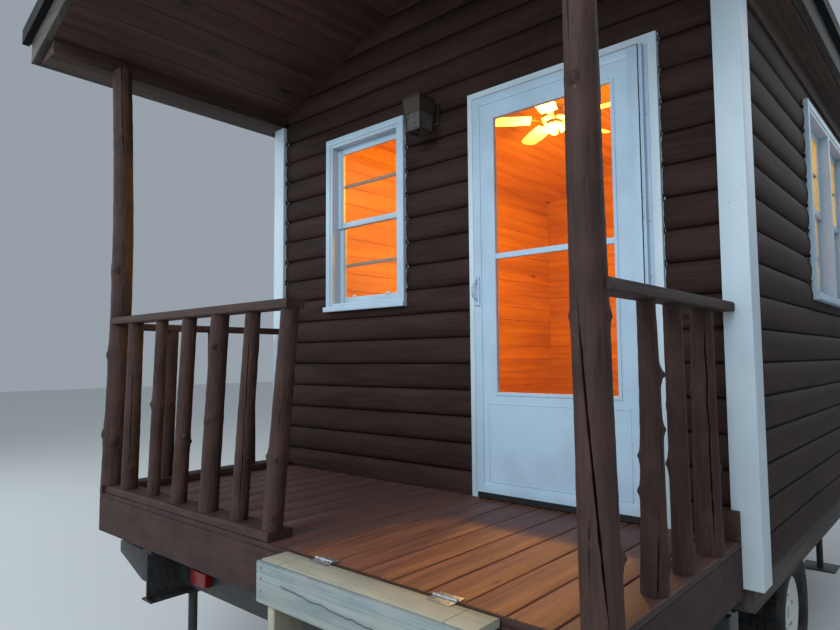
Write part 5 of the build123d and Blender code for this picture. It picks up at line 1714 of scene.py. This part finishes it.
def build_wheel(side):
    """A tyre with tread blocks, its pressed rim and the nuts. A profile is places across and radii."""
    word = SIDES[side]
    body = f"wheel_{word}"
    low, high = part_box(f"tyre_{word}")
    centre = (low + high) / 2
    radius, half = (high.z - low.z) / 2, (high.x - low.x) / 2
    outward = Vector((side, 0, 0))
    shape = Shape()
    profile = (
        (-half * 0.74, BEAD + 0.002), (-half * 0.93, BEAD + 0.020), (-half * 0.995, BEAD + 0.060),
        (-half * 0.998, BEAD + 0.105), (-half * 0.93, radius - 0.020), (-half * 0.84, radius - 0.008),
        (-half * 0.80, radius - 0.003), (-half * 0.40, radius - 0.0012), (-half * 0.36, radius - 0.0012),
        (-half * 0.34, radius - 0.009), (-half * 0.30, radius - 0.009), (-half * 0.28, radius - 0.0008),
        (-half * 0.04, radius - 0.0005), (-half * 0.02, radius - 0.009), (half * 0.02, radius - 0.009),
    )
    profile += tuple((-x, r) for x, r in reversed(profile[:-2]))
    rows = []
    for k in range(TYRE_SIDES):
        turn = math.tau * k / TYRE_SIDES
        way = Vector((0, math.cos(turn), math.sin(turn)))
        phase = (k * TREAD_BLOCKS / TYRE_SIDES) % 1
        row = []
        for x, r in profile:
            shoulder = abs(x) > half * 0.79 and r > radius - 0.022
            if shoulder and phase < 0.3:
                r -= 0.006
            if r > radius - 0.002 and phase < 0.26:
                r -= 0.005
            row.append(centre + outward * x + way * (r - 0.0005))
        inner = [centre + outward * x + way * (BEAD + 0.002) for x in (RIM_HALF, -RIM_HALF)]
        rows.append(row + inner)
    shape.hoop(rows)
    shape.object(f"treaded_tyre_{word}", "tyre", body, "tyre", (f"tyre_{word}",), smooth=40)
    shape = Shape()
    rim = (
        (RIM_HALF, 0.183), (RIM_HALF - 0.001, 0.176), (RIM_HALF - 0.012, 0.172), (RIM_HALF - 0.018, 0.164),
        (0.046, 0.158), (0.040, 0.140), (0.048, 0.118), (0.052, 0.100), (0.050, 0.078), (0.040, 0.066),
        (0.0405, 0.063), (0.064, 0.061), (0.0646, 0.040), (0.060, 0.020),
    )
    rim += ((0.030, 0.020), (0.030, 0.140), (-0.020, 0.160), (-RIM_HALF, 0.176), (-RIM_HALF, 0.183))
    rows = []
    for k in range(RIM_SIDES):
        turn = math.tau * k / RIM_SIDES
        way = Vector((0, math.cos(turn), math.sin(turn)))
        rows.append([centre + outward * x + way * r for x, r in rim])
    shape.hoop(rows)
    shape.turned(centre - outward * 0.0645, outward, ((0, 0.058), (0.10, 0.058)), 40)
    shape.object(f"pressed_rim_{word}", "wheel_steel", body, "wheel_steel", (f"rim_{word}",), smooth=30)
    shape = Shape()
    for k in range(LUG_NUTS):
        turn = math.tau * k / LUG_NUTS + 0.3
        spot = centre + outward * 0.046 + Vector((0, math.cos(turn), math.sin(turn))) * 0.088
        shape.turned(spot, outward, ((0, 0.013), (0.014, 0.013), (0.017, 0.010)), 6)
        shape.turned(spot + outward * 0.016, outward, ((0, 0.006), (0.006, 0.006), (0.007, 0.004)), 12)
    shape.turned(centre + outward * 0.060, outward, ((0, 0.034), (0.003, 0.034), (0.0045, 0.030)), 32)
    shape.object(f"lug_nuts_{word}", "dull_aluminium", body, "wheel_steel", smooth=30)


def build_chassis():
    for node, name, edge in (
        ("chassis_rails", "chassis_beams", 0.0025), ("cross_members", "cross_channels", 0.004),
        ("outriggers", "outrigger_brackets", 0.003), ("hitch_tongue", "tongue_and_coupler", 0.003),
        ("leaf_springs", "spring_packs", 0.002), ("jack_stands", "screw_stands", 0.0015),
        ("axle", "axle_tube", 0.001),
    ):
        eased(node, name, "chassis_steel", "cabin", "chassis_steel", edge)
    eased("floor_frame", "floor_joists", "weathered_board", "cabin", "weathered_board", 0.003)
    eased("porch_joists", "deck_joists", "fascia_x", "cabin", "weathered_board", 0.003)
    bolts = Shape()
    wheel = (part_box("tyre_left")[0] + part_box("tyre_left")[1]) / 2
    for side in (-1, 1):
        for shift in (-0.035, 0.035):
            for across in (-0.03, 0.03):
                spot = (side * chassis_x + across, wheel.y + shift, wheel.z + 0.056)
                bolts.turned(spot, (0, 0, -1), ((0, 0.008), (0.10, 0.008)), 12)
                bolts.turned((spot[0], spot[1], wheel.z - 0.042), (0, 0, -1), ((0, 0.013), (0.012, 0.013)), 6)
        x, y, z = side * chassis_x, wheel.y, wheel.z
        bolts.block((x - 0.045, y - 0.05, z - 0.044), (x + 0.045, y + 0.05, z - 0.034), 0.003, 2)
        bolts.block((x - 0.04, y - 0.05, z + 0.056), (x + 0.04, y + 0.05, z + 0.064), 0.002, 2)
    bolts.object("spring_bolts", "chassis_steel", "cabin", "chassis_steel", smooth=30)
    eased("tail_lights", "tail_lamps", "red_lens", "cabin", "red_lens", 0.006, 3)


def build_trim():
    eased("corner_boards", "corner_trim", "white_trim", "cabin", "white_trim", 0.002)
    eased("door_casing", "doorway_casing", "white_trim", "cabin", "white_trim", 0.0015)
    eased("door_threshold", "sill_threshold", "threshold_metal", "cabin", "galvanised", 0.002)


for side in (-1, 1):
    build_wheel(side)
build_chassis()
build_trim()


# Inside: floor boards, the fan with its lamps, and their light
rotor_low, rotor_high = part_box("fan_rotor")
mount_low, mount_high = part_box("fan_mount")
FLOOR_BOARD = 0.012
FLOOR_PITCH = 0.128
BLADES = 5
BLADE_STEPS = 16
BLADE_ROOT = 0.165              # from the fan's middle
SHADES = 4
ROOM_TINT = (1.0, 0.57, 0.06)


def build_floor():
    shape = Shape()
    floor_low, floor_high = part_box("cabin_floor")
    count = round((floor_high.x - floor_low.x) / FLOOR_PITCH)
    pitch = (floor_high.x - floor_low.x) / count
    for i in range(count):
        x0 = floor_low.x + i * pitch
        x1 = x0 + pitch
        groove = 0.0015
        joint = floor_low.y + (floor_high.y - floor_low.y) * (0.5 + 0.35 * waver_at(i * 4.7, 2.2))
        for y0, y1 in ((floor_low.y, joint - 0.0004), (joint + 0.0004, floor_high.y)):
            top = floor_high.z
            ring = [(x0, top - FLOOR_BOARD), (x0, top - groove), (x0 + groove, top)]
            ring += [(x1 - groove, top), (x1, top - groove), (x1, top - FLOOR_BOARD)]
            shape.extruded(ring, y0, y1)
    shape.block(floor_low, (floor_high.x, floor_high.y, floor_high.z - FLOOR_BOARD))
    shape.object("floor_boards", "floor_wood", "cabin", "floor_wood", ("cabin_floor",), smooth=20)


def build_fan():
    y = (mount_low.y + mount_high.y) / 2
    reach = rotor_high.x
    bottom, top = rotor_low.z, rotor_high.z
    shape = Shape()
    stations = (
        (0, 0.060), (0.004, 0.086), (0.014, 0.0945), (0.030, 0.0945), (0.044, 0.092), (0.054, 0.080),
        (0.0598, 0.056),
    )
    shape.turned((0, y, bottom), (0, 0, 1), stations, 56)
    shape.object("fan_motor", "fan_white", "ceiling_fan", "fan_white", ("fan_rotor",))
    shape = Shape()
    irons = Shape()
    for k in range(BLADES):
        turn = math.tau * k / BLADES
        away = Vector((math.cos(turn), math.sin(turn), 0))
        side = Vector((-away.y, away.x, 0))
        rings = []
        for i in range(BLADE_STEPS + 1):
            share = i / BLADE_STEPS
            out = BLADE_ROOT + (reach - 0.003 - BLADE_ROOT) * share
            wide = 0.054 + 0.008 * math.sin(math.pi * min(1, share * 1.2))
            if share > 0.86:
                wide *= math.sqrt(max(0.02, 1 - ((share - 0.86) / 0.14) ** 2.2))
            level = bottom + 0.013
            ring = []
            for across, up in ((-1, -0.0028), (1, -0.0028), (1, 0.0028), (-1, 0.0028)):
                pitch = across * wide * 0.16
                ring.append(
                    Vector((0, y, level)) + away * out + side * across * wide + Vector((0, 0, up + pitch))
                )
            rings.append(ring)
        shape.loft(rings)
        iron = []
        for out, wide, up in (
            (0.070, 0.014, 0.010), (0.110, 0.012, 0.009), (0.150, 0.024, 0.017), (0.205, 0.030, 0.0185),
        ):
            ring = []
            for across, lift in ((-1, -0.002), (1, -0.002), (1, 0.002), (-1, 0.002)):
                ring.append(Vector((0, y, bottom + up + lift)) + away * out + side * across * wide)
            iron.append(ring)
        irons.loft(iron)
    shape.object("fan_blades", "fan_white", "ceiling_fan", "fan_white")
    irons.object("blade_irons", "lamp_brass", "ceiling_fan", "fan_white")
    shape = Shape()
    canopy = ((0, 0.055), (0.03, 0.058), (0.062, 0.040), (0.070, 0.014))
    shape.turned((0, y, mount_high.z - 0.0215), (0, 0, -1), canopy, 40)
    shape.turned((0, y, top + 0.055), (0, 0, 1), ((0, 0.0118), (mount_high.z - top - 0.09, 0.0118)), 20)
    shape.turned(
        (0, y, top + 0.005), (0, 0, 1), ((0, 0.060), (0.012, 0.075), (0.040, 0.075), (0.055, 0.040)), 48,
    )
    shape.turned((0, y, bottom - 0.004), (0, 0, -1), ((-0.02, 0.0118), (0.03, 0.0118)), 20)
    hub = ((0, 0.020), (0.006, 0.050), (0.020, 0.055), (0.036, 0.036), (0.044, 0.014))
    shape.turned((0, y, bottom - 0.006), (0, 0, -1), hub, 40)
    shape.object("fan_hanger", "fan_white", "cabin", "fan_white", ("fan_mount",))
    shades = Shape()
    shade = ((0, 0.010), (0.010, 0.016), (0.022, 0.024), (0.036, 0.027), (0.050, 0.030), (0.054, 0.026))
    for k in range(SHADES):
        turn = math.tau * k / SHADES + 0.6
        away = Vector((math.cos(turn), math.sin(turn), -0.9)).normalized()
        start = Vector((0, y, bottom - 0.024)) + 0.028 * Vector((math.cos(turn), math.sin(turn), 0))
        shades.turned(start, away, shade, 28)
    shades.object("lamp_shades", "lamp_glow", "cabin", "fan_white")


def light_room(name, place, power, size):
    """A warm lamp that shines in the room and isn't seen itself."""
    lamp = bpy.data.lights.new(name, "POINT")
    lamp.energy = power
    lamp.color = ROOM_TINT
    lamp.shadow_soft_size = size
    holder = bpy.data.objects.new(name, lamp)
    holder.location = place
    holder.visible_camera = False
    bpy.context.scene.collection.objects.link(holder)


build_floor()
build_fan()
light_room("fan_lamp", (0, (mount_low.y + mount_high.y) / 2, rotor_low.z - 0.16), power=135, size=0.08)
light_room("room_lamp", (0.2, 1.1, 2.6), power=80, size=0.3)


# Stage and light
FLOOR_REACH = 40
FLOOR_TINT = (226, 226, 224)
SKY_TINT = (218, 230, 243)
SKY_STRENGTH = 0.44
KEY_TINT = (0.82, 0.93, 1.0)


def set_stage():
    mesh = bmesh.new()
    bmesh.ops.create_grid(mesh, x_segments=1, y_segments=1, size=FLOOR_REACH)
    data = bpy.data.meshes.new("studio_floor")
    mesh.to_mesh(data)
    mesh.free()
    floor = bpy.data.objects.new("studio_floor", data)
    bpy.context.scene.collection.objects.link(floor)
    finish = Finish("studio_floor", Roughness=0.9)
    data.materials.append(finish.done(srgb(*FLOOR_TINT)))
    world = bpy.data.worlds.new("studio")
    world.use_nodes = True
    sky = world.node_tree.nodes["Background"].inputs
    sky["Color"].default_value = (*srgb(*SKY_TINT), 1)
    sky["Strength"].default_value = SKY_STRENGTH
    bpy.context.scene.world = world


def add_lamp(name, place, target, power, size=6.0, tint=KEY_TINT):
    lamp = bpy.data.lights.new(name, "AREA")
    lamp.shape = "DISK"
    lamp.size = size
    lamp.energy = power
    lamp.color = tint
    holder = bpy.data.objects.new(name, lamp)
    line = Vector(target) - Vector(place)
    holder.matrix_world = Matrix.Translation(place) @ line.to_track_quat("-Z", "Y").to_matrix().to_4x4()
    bpy.context.scene.collection.objects.link(holder)


set_stage()
add_lamp("key", (1.5, -10.0, 6.2), (0, -1, 1.8), power=660)
add_lamp("fill", (-8.0, -6.0, 5.0), (0, 0, 1.6), power=230)
add_lamp("rim", (5.0, 9.0, 7.0), (0, 0, 2.0), power=200)
place_camera()
bpy.context.scene.view_settings.view_transform = "Standard"
